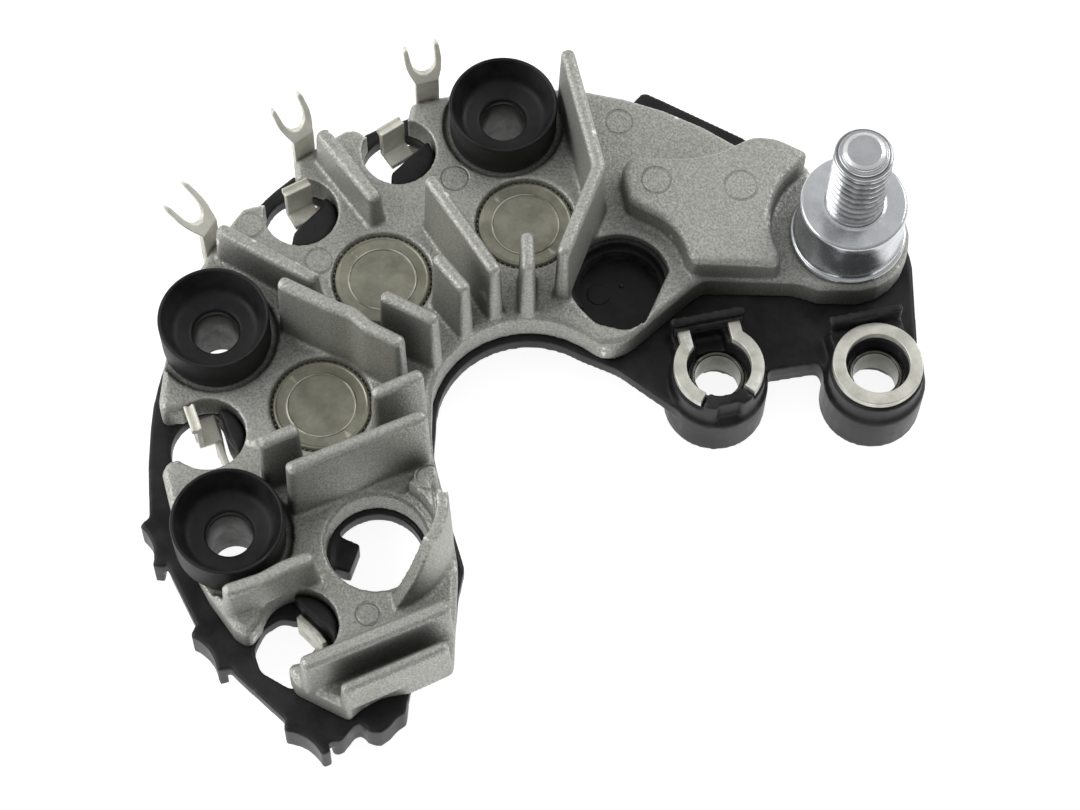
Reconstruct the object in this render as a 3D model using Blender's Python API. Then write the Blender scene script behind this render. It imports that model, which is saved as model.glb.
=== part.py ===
"""Alternator rectifier: a die-cast positive heat sink with fins on a moulded terminal carrier.

Three press-fit diodes sit in the heat sink, and a fourth socket is left empty. Three stamped
phase conductors run under the carrier from the diode leads to a clip in each lead window and
to a fork at the rim. Lengths are in millimetres and are scaled to metres as a mesh is made.
The plan is drawn about the alternator's axis, with the terminal bosses' seats at z = 0, and the
finished assembly is then moved so that the origin is under its middle.
"""

import math

import bmesh
import bpy
from mathutils import Vector

# Scale and fits
METRES_PER_MM = 0.001
FIT = 0.3
OVERLAP = 0.6
ROUND_SIDES = 24
SMALL_SIDES = 12

# Heat sink plate
PLATE_TOP = 13.0
PLATE_THICKNESS = 5.0
PLATE_INNER_RADIUS = 13.3
PLATE_OUTER_RADIUS = 49.3
PLATE_EDGE_ROUND = 0.7

# Fins
INNER_FIN_HEIGHT = 13.3
OUTER_FIN_HEIGHT = 7.0
END_FIN_HEIGHT = 8.0
WEDGE_FIN_HEIGHT = 5.8
FIN_WIDTH = 1.9
FIN_DRAFT = 0.25
FIN_ROUND = 0.55
FIN_REACH = 0.6

# Diodes and their sockets
DIODE_CIRCLE = 27.7
DIODE_ANGLES = (180.8, 137.8, 93.0)
EMPTY_SOCKET_ANGLE = 225.5
DIODE_RADIUS = 6.4
DIODE_HEIGHT = 5.2
DIODE_FACE_DROP = 0.25
DIODE_FACE_STEP_RADIUS = 4.5
DIODE_FACE_STEP = 0.25
DIODE_CUP_WALL = 1.2
SOCKET_RIM_RADIUS = 6.95
SOCKET_RIM_DEPTH = 0.7
LEAD_RADIUS = 0.65

# Mounting points
BUSHING_CIRCLE = 43.3
BUSHING_ANGLES = (207.2, 167.7, 96.7)
BUSHING_RIM_RADIUS = 7.43
BUSHING_RISE = 5.5
BUSHING_CUP_WALL = 1.0
BUSHING_FLOOR_RISE = 1.4
BUSHING_MOUTH_RADIUS = 3.45
BUSHING_TUBE_RADIUS = 5.0
BUSHING_SEAT_RADIUS = 8.3
BUSHING_SEAT_DEPTH = 0.9
SLEEVE_RADIUS = 3.95
SLEEVE_BORE = 3.1
SLEEVE_CHAMFER = 0.5
SLEEVE_SEAT = 2.0
SLEEVE_NOSE_RADIUS = 3.35
SLEEVE_NOSE = 0.9

# Lead windows beside the diodes
WINDOW_CIRCLE = 42.8
WINDOW_ANGLES = (187.0, 138.6, 116.7)
SPARE_WINDOW_ANGLE = 227.8
WINDOW_RADIUS = 5.1

# Output arm, its stud and its raised block
STUD_X = 42.4
STUD_Y = 27.6
STUD_BOSS_RADIUS = 8.5
STUD_RADIUS = 3.95
STUD_LENGTH_ABOVE_PLATE = 23.4
STUD_HEAD_FLATS = 13.0
STUD_HEAD_HEIGHT = 4.0
STUD_TIP_RADIUS = 2.6
COLLAR_HEIGHT = 9.3
COLLAR_TOP_RADIUS = 7.25
COLLAR_FOOT_RADIUS = 7.9
COLLAR_FOOT_HEIGHT = 0.8
BLOCK_RISE = 4.0
BLOCK_STUD_GAP = 10.7
PAD_RISE = 3.5
WELL_X = 11.5
WELL_Y = 19.6
WELL_RADIUS = 6.9
WELL_RING = 1.9

# Terminal carrier
CARRIER_THICKNESS = 2.7
CARRIER_INNER_RADIUS = 12.6
CARRIER_RIM_RADIUS = 50.0
ARM_CARRIER_THICKNESS = 4.5
NOTCH_CIRCLE = 58.3
NOTCH_ANGLES = (201.0, 219.4, 238.8)
NOTCH_RADIUS = 5.6
NOTCH_WALL = 1.3
NOTCH_WALL_DEPTH = 5.7
PLUG_TOP_DROP = 1.6
PLUG_CHAMFER = 0.5

# Terminal bosses on the carrier
REGULATOR_X = 25.1
REGULATOR_Y = 7.4
RING_X = 46.4
RING_Y = 8.5
TERMINAL_OUTER_RADIUS = 6.1
TERMINAL_BAND = 1.8
TERMINAL_INNER_RADIUS = TERMINAL_OUTER_RADIUS - TERMINAL_BAND
TERMINAL_THICKNESS = 1.1
TERMINAL_GAP = (-113.0, -38.0)
TERMINAL_ARM_WIDTH = 1.7
TERMINAL_ARM_OUTER = TERMINAL_OUTER_RADIUS - TERMINAL_BAND
TERMINAL_ARM_INNER = TERMINAL_ARM_OUTER - TERMINAL_ARM_WIDTH
BOSS_FACE_DROP = 1.9
BOSS_MARGIN = 0.3
BOSS_RADIUS = TERMINAL_OUTER_RADIUS + BOSS_MARGIN
BOSS_SKIRT_STEP = 0.55
BOSS_SKIRT_RADIUS = BOSS_RADIUS + BOSS_SKIRT_STEP
BOSS_BORE = 4.0
BOSS_SLEEVE_DROP = 3.8
BOSS_SLEEVE_SEAT = 4.0
BOSS_COUNTERBORE = 4.8
BOSS_SLEEVE_RADIUS = 3.7
BOSS_SLEEVE_BORE = 3.1
PAD_ANGLE = 14.0
PAD_CHEEK = 0.8
PAD_WIDTH = 2 * (TERMINAL_ARM_OUTER + PAD_CHEEK)
RIDGE_RISE = 1.0
RIDGE_WIDTH = 1.1
RIDGE_GAP = 0.2
PAD_REACH = TERMINAL_OUTER_RADIUS + RIDGE_GAP + RIDGE_WIDTH
RIDGE_COVER = 0.5
TERMINAL_ARM_REACH = PAD_REACH - RIDGE_COVER

# Stamped conductors
STRIP_THICKNESS = 0.8
STRIP_WIDTH = 4.0
STAKE_RADIUS = 0.9
CLIPS = (
    ((-43.8, -3.1), 201.5, 3.9, 2.5),
    ((-32.5, 31.0), 121.0, 3.9, 2.2),
    ((-20.1, 41.0), 126.3, 3.7, 2.3),
)
CLIP_RISE = 1.0
CLIP_TONGUE_DROP = 4.4
CLIP_FOOT_WIDTH = 1.2
FORKS = ((152.0, 49.6, 1.05), (130.4, 49.45, 0.74), (108.4, 49.45, 0.63))
FORK_STEM_WIDTH = 3.3
FORK_SPAN = 5.1
FORK_PRONG = 0.85
FORK_ROOT_RISE = 4.9
FORK_TIP_RISE = 8.7
LEAD_PATHS = (
    [(-28.6, -0.5), (-36.5, 2.4), (-46.8, 2.4)],
    [(-20.8, 18.9), (-24.6, 26.5), (-27.8, 33.4)],
    [(-2.4, 28.2), (-11.0, 34.5), (-16.2, 43.6)],
)
LEAF_PATHS = (
    [(-44.2, -2.0), (-46.0, 2.2)],
    [(-32.0, 31.8), (-27.4, 34.6)],
    [(-19.6, 41.9), (-15.8, 44.7)],
)
LEAF_STRIP_WIDTH = 1.5
FORK_PATHS = (
    [(-35.6, 1.6), (-35.2, 9.0), (-37.8, 17.0), (-44.0, 23.6)],
    [(-27.2, 32.2), (-31.8, 38.0)],
    [(-15.6, 41.8), (-15.4, 47.4)],
)
TAIL_PATH = [(-41.6, -3.6), (-40.3, -6.9), (-39.6, -8.4)]
TAIL_FOOT = [(-41.2, -4.6), (-42.8, 1.4)]
TAIL_DROP = 5.05
NEUTRAL_PATH = [(-29.2, -29.2), (-26.6, -31.6), (-25.6, -32.9)]
NEUTRAL_FOOT = [(-27.0, -31.6), (-21.8, -34.8)]
NEUTRAL_DROP = 3.2

PLATE_BOTTOM = PLATE_TOP - PLATE_THICKNESS
CARRIER_TOP = PLATE_BOTTOM - FIT
CARRIER_BOTTOM = CARRIER_TOP - CARRIER_THICKNESS
ARM_CARRIER_BOTTOM = CARRIER_TOP - ARM_CARRIER_THICKNESS
STRIP_TOP = CARRIER_BOTTOM - FIT
STRIP_BOTTOM = STRIP_TOP - STRIP_THICKNESS
BOSS_FACE = PLATE_TOP - BOSS_FACE_DROP
BOSS_SLEEVE_TOP = PLATE_TOP - BOSS_SLEEVE_DROP
STUD = (STUD_X, STUD_Y)
WELL = (WELL_X, WELL_Y)
REGULATOR = (REGULATOR_X, REGULATOR_Y)
RING = (RING_X, RING_Y)
AXIS = (0.0, 0.0)


# Plan geometry

def polar(radius, degrees, centre=AXIS):
    angle = math.radians(degrees)
    return (centre[0] + radius * math.cos(angle), centre[1] + radius * math.sin(angle))


def arc(centre, radius, start, end, steps=8):
    """Points along an arc from one angle to the other, both ends included."""
    return [polar(radius, start + (end - start) * i / steps, centre) for i in range(steps + 1)]


def circle(centre, radius, sides=ROUND_SIDES):
    return [polar(radius, 360.0 * i / sides, centre) for i in range(sides)]


def rounded(corners, most_steps=3):
    """A closed outline whose corners (x, y, radius) are turned into arcs."""
    outline = []
    count = len(corners)
    for i, corner in enumerate(corners):
        here = Vector(corner[:2])
        radius = corner[2] if len(corner) > 2 else 0.0
        before = Vector(corners[i - 1][:2]) - here
        after = Vector(corners[(i + 1) % count][:2]) - here
        if radius <= 0:
            outline.append(tuple(here))
            continue
        half = before.angle(after) / 2
        if half > math.radians(88):
            outline.append(tuple(here))
            continue
        reach = min(radius / math.tan(half), 0.49 * before.length, 0.49 * after.length)
        radius = reach * math.tan(half)
        start = here + before.normalized() * reach
        end = here + after.normalized() * reach
        centre = here + (before.normalized() + after.normalized()).normalized() * radius / math.sin(half)
        first = start - centre
        turn = first.angle_signed(end - centre)
        steps = 1 + min(most_steps - 1, int(abs(turn) * max(0.8, radius) ** 0.5 / 0.65))
        for j in range(steps + 1):
            angle = -turn * j / steps
            cos, sin = math.cos(angle), math.sin(angle)
            outline.append((
                centre.x + first.x * cos - first.y * sin,
                centre.y + first.x * sin + first.y * cos,
            ))
    return outline


def band(path, half_width, end_round, bend_round=2.0, longer=0.0):
    """The outline of a strip of even width along a path, with rounded ends and bends."""
    points = [Vector(p) for p in path]
    points[0] = points[0] + (points[0] - points[1]).normalized() * longer
    points[-1] = points[-1] + (points[-1] - points[-2]).normalized() * longer
    sides = ([], [])
    for i, point in enumerate(points):
        before = (point - points[i - 1]).normalized() if i else None
        after = (points[i + 1] - point).normalized() if i + 1 < len(points) else None
        along = (before or after) + (after or before)
        along.normalize()
        across = Vector((-along.y, along.x))
        stretch = 1.0 / max(0.5, along.dot(after or before))
        corner = end_round if i in (0, len(points) - 1) else bend_round
        for side, sign in zip(sides, (1, -1)):
            place = point + across * sign * half_width * stretch
            side.append((place.x, place.y, corner))
    return rounded(sides[1] + sides[0][::-1])


# Solids

def material(name, colour, roughness, metallic):
    made = bpy.data.materials.new(name)
    made.use_nodes = True
    shader = made.node_tree.nodes["Principled BSDF"]
    shader.inputs["Base Color"].default_value = (*colour, 1.0)
    shader.inputs["Roughness"].default_value = roughness
    shader.inputs["Metallic"].default_value = metallic
    return made


def placed(name, mesh_builder, finish=None):
    """A new object from a bmesh whose lengths are in millimetres, with its faces turned outwards."""
    bmesh.ops.recalc_face_normals(mesh_builder, faces=mesh_builder.faces)
    if mesh_builder.calc_volume(signed=True) < 0:
        bmesh.ops.reverse_faces(mesh_builder, faces=mesh_builder.faces)
    bmesh.ops.scale(mesh_builder, vec=Vector((1, 1, 1)) * METRES_PER_MM, verts=mesh_builder.verts)
    mesh = bpy.data.meshes.new(name)
    mesh_builder.to_mesh(mesh)
    mesh_builder.free()
    body = bpy.data.objects.new(name, mesh)
    bpy.context.scene.collection.objects.link(body)
    if finish:
        mesh.materials.append(finish)
        mesh.shade_smooth()
        mesh.set_sharp_from_angle(angle=math.radians(35))
    return body


def loft(name, rings, finish=None):
    """A closed solid through rings of (outline, height), all with as many points."""
    shape = bmesh.new()
    levels = []
    for outline, height in rings:
        heights = height if isinstance(height, list) else [height] * len(outline)
        levels.append([shape.verts.new((x, y, z)) for (x, y), z in zip(outline, heights)])
    shape.faces.new(levels[0])
    shape.faces.new(levels[-1])
    for lower, upper in zip(levels, levels[1:]):
        count = len(lower)
        for i in range(count):
            j = (i + 1) % count
            shape.faces.new((lower[i], lower[j], upper[j], upper[i]))
    return placed(name, shape, finish)


def prism(name, outline, bottom, top, finish=None, edge_round=0.0):
    """An extruded outline. Its top edge is rounded over where a radius is given."""
    shape = bmesh.new()
    face = shape.faces.new([shape.verts.new((x, y, bottom)) for x, y in outline])
    grown = bmesh.ops.extrude_face_region(shape, geom=[face])["geom"]
    raised = [item for item in grown if isinstance(item, bmesh.types.BMVert)]
    bmesh.ops.translate(shape, vec=(0, 0, top - bottom), verts=raised)
    if edge_round:
        edges = [e for e in shape.edges if all(abs(v.co.z - top) < 1e-6 for v in e.verts)]
        bmesh.ops.bevel(
            shape, geom=edges, offset=edge_round, segments=1, profile=0.5,
            affect="EDGES", clamp_overlap=True,
        )
    return placed(name, shape, finish)


def turned(name, profile, centre=AXIS, sides=ROUND_SIDES, finish=None):
    """A body turned about a vertical axis. The profile lists (radius, height) all the way round."""
    shape = bmesh.new()
    verts = [shape.verts.new((centre[0] + r, centre[1], z)) for r, z in profile]
    on_axis = profile[0][0] == 0.0
    pairs = list(zip(verts, verts[1:]))
    if not on_axis:
        pairs.append((verts[-1], verts[0]))
    edges = [shape.edges.new(pair) for pair in pairs]
    bmesh.ops.spin(
        shape, geom=verts + edges, cent=(*centre, 0.0), axis=(0, 0, 1),
        angle=math.tau, steps=sides, use_duplicate=False,
    )
    bmesh.ops.remove_doubles(shape, verts=shape.verts, dist=1e-4)
    return placed(name, shape, finish)


def boolean(body, other, operation):
    other.hide_render = True
    other.display_type = "WIRE"
    modifier = body.modifiers.new(other.name, "BOOLEAN")
    modifier.operation = operation
    modifier.solver = "EXACT"
    modifier.object = other


def cut(body, *cutters):
    for cutter in cutters:
        boolean(body, cutter, "DIFFERENCE")


def fuse(body, *parts):
    for part in parts:
        boolean(body, part, "UNION")


def solve_as_manifold(body):
    """The exact solver loses faces on this body, whose shapes are all closed."""
    for modifier in body.modifiers:
        modifier.solver = "MANIFOLD"


# Heat sink

def plate_outline():
    """The C plate, its output arm and the mouths of the lead windows, anticlockwise."""
    well_side = [(9.9, 9.5, 3.0), (13.0, 10.7, 4.0), (21.4, 18.9, 0.4), (23.0, 20.1, 1.5)]
    arm_foot = [(35.5, 20.2, 3.0), (38.5, 19.2, 2.0)]
    arm_head = [(36.9, 38.1, 0.9), (32.4, 40.2, 3.0), (28.4, 40.7, 3.0)]
    first_mouth = [(-17.9, 45.9, 1.2), (-18.4, 42.6, 0.0), (-23.4, 40.4, 0.0), (-25.4, 41.6, 1.1)]
    second_mouth = [(-33.6, 36.2, 1.4), (-33.1, 32.9, 0.0), (-36.5, 29.8, 0.0), (-38.9, 29.1, 1.1)]
    third_mouth = [(-49.0, -2.3, 1.5), (-45.6, -1.6, 0.0), (-45.2, -9.0, 0.0), (-47.4, -8.9, 1.5)]
    spare_mouth = [(-35.3, -33.5, 1.0), (-33.0, -30.0, 0.0), (-28.2, -36.2, 0.0)]
    lower_end = [
        (-30.1, -37.4, 1.0), (-28.9, -39.6, 1.6), (-21.9, -42.9, 0.7), (-20.2, -41.1, 6.0),
        (-17.7, -39.6, 6.0), (-14.3, -38.9, 0.6), (-8.7, -36.0, 1.2),
    ]
    inner_side = [(-8.7, -22.5, 6.0), (-10.2, -15.0, 6.0), (-12.5, -7.6, 4.0), (-13.0, -3.0, 2.0)]
    corners = (
        [(*polar(PLATE_INNER_RADIUS, a), 0.0) for a in range(170, 50, -10)]
        + well_side
        + arm_foot
        + [(*p, 0.0) for p in arc(STUD, STUD_BOSS_RADIUS, -78, 118, 12)]
        + arm_head
        + rim_arc(56.0, 110.0, 8)
        + first_mouth
        + rim_arc(122.6, 131.6, 2)
        + second_mouth
        + rim_arc(144.4, 180.5, 5)
        + third_mouth
        + rim_arc(192.8, 221.0, 4)
        + spare_mouth
        + lower_end
        + inner_side
    )
    return rounded(corners)


def rim_arc(start, end, steps):
    return [(*p, 0.0) for p in arc(AXIS, PLATE_OUTER_RADIUS, start, end, steps)]


def fin(name, path, height, base=PLATE_TOP, width=FIN_WIDTH):
    """A cast fin with draft on its sides and a rounded crest."""
    half = width / 2
    round_over = FIN_ROUND
    levels = (
        (half + FIN_DRAFT, FIN_DRAFT, base - OVERLAP),
        (half, 0.0, base + height - round_over),
        (half - 0.8 * round_over, -0.8 * round_over, base + height),
    )
    rings = [(band(path, h, min(0.75, h - 0.05), 2.0, FIN_REACH + extra), z) for h, extra, z in levels]
    return loft(name, rings)


def inner_fins():
    paths = {
        "bent": [(3.5, 47.0), (8.1, 29.8), (3.8, 16.9)],
        "left_of_third_diode": [(-14.1, 26.9), (-5.2, 13.9)],
        "between_diodes": [(-12.6, 15.3), (-9.1, 11.1)],
        "stub_at_third_diode": [(-1.05, 19.0), (-0.85, 14.4)],
        "stub_at_second_diode": [(-19.3, 9.5), (-12.9, 6.4)],
        "waved": [(-32.8, 11.0), (-26.2, 7.9), (-23.4, 6.9), (-21.4, 5.1), (-17.2, 3.0)],
        "short_above_long": [(-19.8, -4.4), (-14.5, -1.7)],
        "long": [(-30.2, -15.3), (-13.7, -7.4)],
        "stub_at_first_diode": [(-33.9, -11.8), (-30.1, -10.0)],
    }
    return [fin(f"fin_{name}", path, INNER_FIN_HEIGHT) for name, path in paths.items()]


def outer_fins():
    rim = {
        "by_first_window": [(-29.3, 36.9), (-21.8, 27.4)],
        "by_second_window": [(-42.0, 21.7), (-29.4, 15.1)],
        "by_spare_window": [(-37.7, -29.9), (-33.4, -28.2), (-30.6, -26.4), (-27.5, -25.0)],
    }
    fins = [fin(f"fin_{name}", path, OUTER_FIN_HEIGHT, width=2.1) for name, path in rim.items()]
    fins.append(fin("fin_end", [(-27.1, -39.7), (-9.9, -31.5)], END_FIN_HEIGHT, width=2.2))
    fins.append(fin("fin_wedge", [(-22.0, -42.0), (-9.9, -36.0)], WEDGE_FIN_HEIGHT, width=1.7))
    return fins


def socket_wall():
    """The curved wall beside the empty socket. Its crest runs down to the plate at one end."""
    centre = polar(DIODE_CIRCLE, EMPTY_SOCKET_ANGLE)
    inner, outer = SOCKET_RIM_RADIUS + 0.8, SOCKET_RIM_RADIUS + 2.9
    start, slope_start, end = 11.0, -37.0, -73.0
    steps = 9
    shape = bmesh.new()
    sections = []
    for i in range(steps + 1):
        angle = start + (end - start) * i / steps
        share = min(1.0, (angle - end) / (slope_start - end))
        crest = PLATE_TOP + 0.05 + (INNER_FIN_HEIGHT - 0.05) * share
        lean = FIN_DRAFT * share
        corners = [
            (*polar(outer + lean, angle, centre), PLATE_TOP - OVERLAP),
            (*polar(outer - lean, angle, centre), crest),
            (*polar(inner + lean, angle, centre), crest),
            (*polar(inner, angle, centre), PLATE_TOP - OVERLAP),
        ]
        sections.append([shape.verts.new(corner) for corner in corners])
    shape.faces.new(sections[0])
    shape.faces.new(sections[-1])
    for here, there in zip(sections, sections[1:]):
        for i in range(4):
            j = (i + 1) % 4
            shape.faces.new((here[i], here[j], there[j], there[i]))
    return placed("socket_wall", shape)


def socket_pad():
    """The raised pad between the long fin and the empty socket."""
    centre = polar(DIODE_CIRCLE, EMPTY_SOCKET_ANGLE)
    corners = [(-11.3, -12.4, 1.2), (-12.3, -9.6, 0.8), (-15.8, -11.4, 0.4)]
    outline = rounded(corners) + arc(centre, SOCKET_RIM_RADIUS + 1.0, 62, 16, 6)
    return prism("socket_pad", outline, PLATE_TOP - OVERLAP, PLATE_TOP + PAD_RISE, edge_round=0.4)


def arm_block():
    """The raised block on the output arm, hollowed round the stud and round the well."""
    north = [
        (36.9, 38.0, 0.8), (32.5, 40.1, 3.0), (29.4, 40.4, 3.0), (24.6, 37.7, 5.0),
        (20.4, 36.6, 5.0), (15.6, 36.6, 3.0), (12.3, 36.6, 2.0), (11.3, 34.0, 2.0), (12.3, 29.6, 1.0),
    ]
    well_edge = [(*p, 0.0) for p in arc(WELL, WELL_RADIUS + WELL_RING + 0.4, 72, 12, 7)]
    south = [(21.2, 20.5, 0.9), (32.7, 20.5, 0.5), (32.9, 21.6, 0.5)]
    stud_edge = [(*p, 0.0) for p in arc(STUD, BLOCK_STUD_GAP, 208, 130, 9)]
    outline = rounded(north + well_edge + south + stud_edge)
    return prism("arm_block", outline, PLATE_TOP - OVERLAP, PLATE_TOP + BLOCK_RISE, edge_round=0.6)


def well_cutter():
    """The black-floored well: a round bore with two flats."""
    corners = [(*p, 0.0) for p in arc(WELL, WELL_RADIUS, 14, 218, 16)]
    corners += [(8.4, 12.9, 2.0), (12.9, 11.9, 3.0), (15.2, 13.6, 2.0)]
    return prism("well", rounded(corners), PLATE_BOTTOM - 1.0, PLATE_TOP + 1.0)


def heat_sink(finish):
    body = prism(
        "heat_sink", plate_outline(), PLATE_BOTTOM, PLATE_TOP, finish, edge_round=PLATE_EDGE_ROUND,
    )
    fuse(body, arm_block(), socket_pad(), socket_wall(), *inner_fins(), *outer_fins())
    for index, angle in enumerate((*DIODE_ANGLES, EMPTY_SOCKET_ANGLE), start=1):
        bore = DIODE_RADIUS + FIT
        profile = [
            (0.0, PLATE_BOTTOM - 1), (bore, PLATE_BOTTOM - 1), (bore, PLATE_TOP - SOCKET_RIM_DEPTH),
            (SOCKET_RIM_RADIUS, PLATE_TOP - SOCKET_RIM_DEPTH + 0.2), (SOCKET_RIM_RADIUS, PLATE_TOP + 0.5),
            (0.0, PLATE_TOP + 0.5),
        ]
        cut(body, turned(f"socket_{index}", profile, polar(DIODE_CIRCLE, angle)))
    for index, angle in enumerate(BUSHING_ANGLES, start=1):
        hole = BUSHING_TUBE_RADIUS + FIT
        seat = PLATE_TOP - BUSHING_SEAT_DEPTH
        profile = [
            (0.0, PLATE_BOTTOM - 1), (hole, PLATE_BOTTOM - 1), (hole, seat),
            (BUSHING_SEAT_RADIUS, seat), (BUSHING_SEAT_RADIUS, PLATE_TOP + 3.0), (0.0, PLATE_TOP + 3.0),
        ]
        cut(body, turned(f"bushing_hole_{index}", profile, polar(BUSHING_CIRCLE, angle)))
    for index, angle in enumerate((*WINDOW_ANGLES, SPARE_WINDOW_ANGLE), start=1):
        outline = circle(polar(WINDOW_CIRCLE, angle), WINDOW_RADIUS)
        cut(body, prism(f"lead_window_{index}", outline, PLATE_BOTTOM - 1, PLATE_TOP + 1.0))
    cut(body, prism("stud_hole", circle(STUD, STUD_RADIUS + FIT, 20), PLATE_BOTTOM - 1, PLATE_TOP + 1.0))
    cut(body, well_cutter())
    solve_as_manifold(body)
    return body


# Diodes

def diode(index, angle, cup_finish, seal_finish, lead_finish):
    centre = polar(DIODE_CIRCLE, angle)
    top = PLATE_TOP - DIODE_FACE_DROP
    bottom = top - DIODE_HEIGHT + 0.2
    inside = DIODE_RADIUS - DIODE_CUP_WALL
    roof = top - 2.2
    cup = [
        (0.0, top - DIODE_FACE_STEP), (DIODE_FACE_STEP_RADIUS, top - DIODE_FACE_STEP),
        (DIODE_FACE_STEP_RADIUS + 0.2, top), (DIODE_RADIUS - 0.5, top), (DIODE_RADIUS, top - 0.4),
        (DIODE_RADIUS, bottom), (inside, bottom), (inside, roof), (0.0, roof),
    ]
    turned(f"diode_cup_{index}", cup, centre, finish=cup_finish)
    seal_top = roof - FIT
    seal_bottom = bottom + 0.6
    hole = LEAD_RADIUS + FIT
    seal = [(hole, seal_bottom), (hole, seal_top), (inside - FIT, seal_top), (inside - FIT, seal_bottom)]
    turned(f"diode_seal_{index}", seal, centre, SMALL_SIDES, seal_finish)
    lead = [
        (0.0, seal_top - 0.2), (LEAD_RADIUS, seal_top - 0.2), (LEAD_RADIUS, STRIP_BOTTOM - 0.6),
        (LEAD_RADIUS - 0.25, STRIP_BOTTOM - 1.0), (0.0, STRIP_BOTTOM - 1.0),
    ]
    turned(f"diode_lead_{index}", lead, centre, SMALL_SIDES, lead_finish)


# Mounting points

def bushing(index, angle, plastic, sleeve_finish):
    """An insulating cup with a tube through the heat sink, and the steel sleeve inside it."""
    centre = polar(BUSHING_CIRCLE, angle)
    seat = PLATE_TOP - BUSHING_SEAT_DEPTH + FIT
    rim = PLATE_TOP + BUSHING_RISE
    floor = PLATE_TOP + BUSHING_FLOOR_RISE
    tube_bottom = PLATE_BOTTOM
    bore = SLEEVE_RADIUS + FIT
    inner = BUSHING_RIM_RADIUS - BUSHING_CUP_WALL
    cup = [
        (bore, tube_bottom), (bore, floor - 1.4), (BUSHING_MOUTH_RADIUS, floor - 1.4),
        (BUSHING_MOUTH_RADIUS, floor - 0.3), (BUSHING_MOUTH_RADIUS + 0.3, floor),
        (inner - 0.6, floor + 0.5), (inner, rim - 0.2), (inner + 0.2, rim),
        (BUSHING_RIM_RADIUS - 0.2, rim), (BUSHING_RIM_RADIUS, rim - 0.3), (BUSHING_RIM_RADIUS - 0.2, seat),
        (BUSHING_TUBE_RADIUS, seat), (BUSHING_TUBE_RADIUS, tube_bottom),
    ]
    turned(f"bushing_{index}", cup, centre, finish=plastic)
    top = floor - 1.4 - FIT
    wide = SLEEVE_BORE + 0.1
    sleeve = [
        (SLEEVE_BORE, SLEEVE_SEAT + 0.1), (SLEEVE_BORE, top), (SLEEVE_RADIUS, top),
        (SLEEVE_RADIUS, SLEEVE_SEAT + SLEEVE_NOSE), (SLEEVE_NOSE_RADIUS, SLEEVE_SEAT), (wide, SLEEVE_SEAT),
    ]
    turned(f"mounting_sleeve_{index}", sleeve, centre, 20, sleeve_finish)


# Output stud

def output_stud(finish, collar_finish):
    tip = PLATE_TOP + STUD_LENGTH_ABOVE_PLATE
    head_top = PLATE_BOTTOM - FIT
    shank = [
        (0.0, head_top - OVERLAP), (STUD_RADIUS, head_top - OVERLAP), (STUD_RADIUS, tip - 1.4),
        (STUD_TIP_RADIUS, tip), (0.0, tip),
    ]
    stud = turned("output_stud", shank, STUD, 24, finish)
    corner_radius = STUD_HEAD_FLATS / 2 / math.cos(math.radians(30))
    head = prism("stud_head", circle(STUD, corner_radius, 6), head_top - STUD_HEAD_HEIGHT, head_top)
    fuse(stud, head)
    foot = PLATE_TOP + FIT
    top = PLATE_TOP + COLLAR_HEIGHT
    hole = STUD_RADIUS + FIT
    collar = [
        (hole, foot), (hole, top), (COLLAR_TOP_RADIUS - 0.3, top), (COLLAR_TOP_RADIUS, top - 0.3),
        (COLLAR_FOOT_RADIUS - 0.35, foot + COLLAR_FOOT_HEIGHT),
        (COLLAR_FOOT_RADIUS, foot + COLLAR_FOOT_HEIGHT - 0.3), (COLLAR_FOOT_RADIUS, foot),
    ]
    turned("stud_collar", collar, STUD, 28, collar_finish)


# Terminal carrier

def carrier_outline():
    """The moulded carrier in plan, anticlockwise from the inner arc."""
    inner = [(*polar(CARRIER_INNER_RADIUS, a), 0.0) for a in range(185, 50, -9)]
    to_regulator = [(11.7, 8.7, 3.0), (18.6, 3.8, 0.0)]
    regulator = [(*p, 0.0) for p in arc(REGULATOR, BOSS_SKIRT_RADIUS, 218, 372, 14)]
    web = web_corners()
    ring = [(*p, 0.0) for p in arc(RING, BOSS_SKIRT_RADIUS, 172, 362, 16)]
    arm = [(52.3, 14.0, 3.0), (51.8, 26.0, 4.0), (50.0, 33.5, 5.0), (43.0, 37.6, 5.0), (37.0, 38.5, 3.0)]
    tab = [(28.4, 45.1, 0.8), (14.4, 52.0, 1.0), (12.8, 50.0, 0.8), (12.4, 48.5, 0.0)]
    rim = [(*p, 0.0) for p in arc(AXIS, CARRIER_RIM_RADIUS, 80, 168, 14)]
    left = [(-50.8, 1.0, 30.0), (-50.6, -8.0, 20.0), (-49.9, -15.0, 1.0)]
    low = [
        (-46.5, -23.0, 1.0), (-42.6, -30.2, 1.0), (-37.1, -36.7, 1.0), (-30.1, -42.8, 1.0),
        (-25.6, -46.2, 0.6), (-22.4, -44.6, 1.0), (-20.2, -42.0, 1.5), (-14.5, -39.8, 1.0),
        (-14.2, -37.5, 0.5),
    ]
    leg = [(-9.0, -35.0, 1.0), (-8.6, -25.0, 4.0), (-7.9, -21.0, 2.0), (-10.2, -14.0, 8.0), (-12.7, -5.0, 6.0)]
    corners = inner + to_regulator + regulator + web + ring + arm + tab + rim + left + low + leg
    return rounded(corners)


def web_corners(higher=0.0):
    """The ends of the web's edge, just clear of the two bosses."""
    left = REGULATOR_X + BOSS_SKIRT_RADIUS + 0.15, REGULATOR_Y + 1.9 + higher
    right = RING_X - BOSS_SKIRT_RADIUS - 0.55, RING_Y + 2.2 + higher
    return [(*left, 0.6), (*right, 0.6)]


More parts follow.
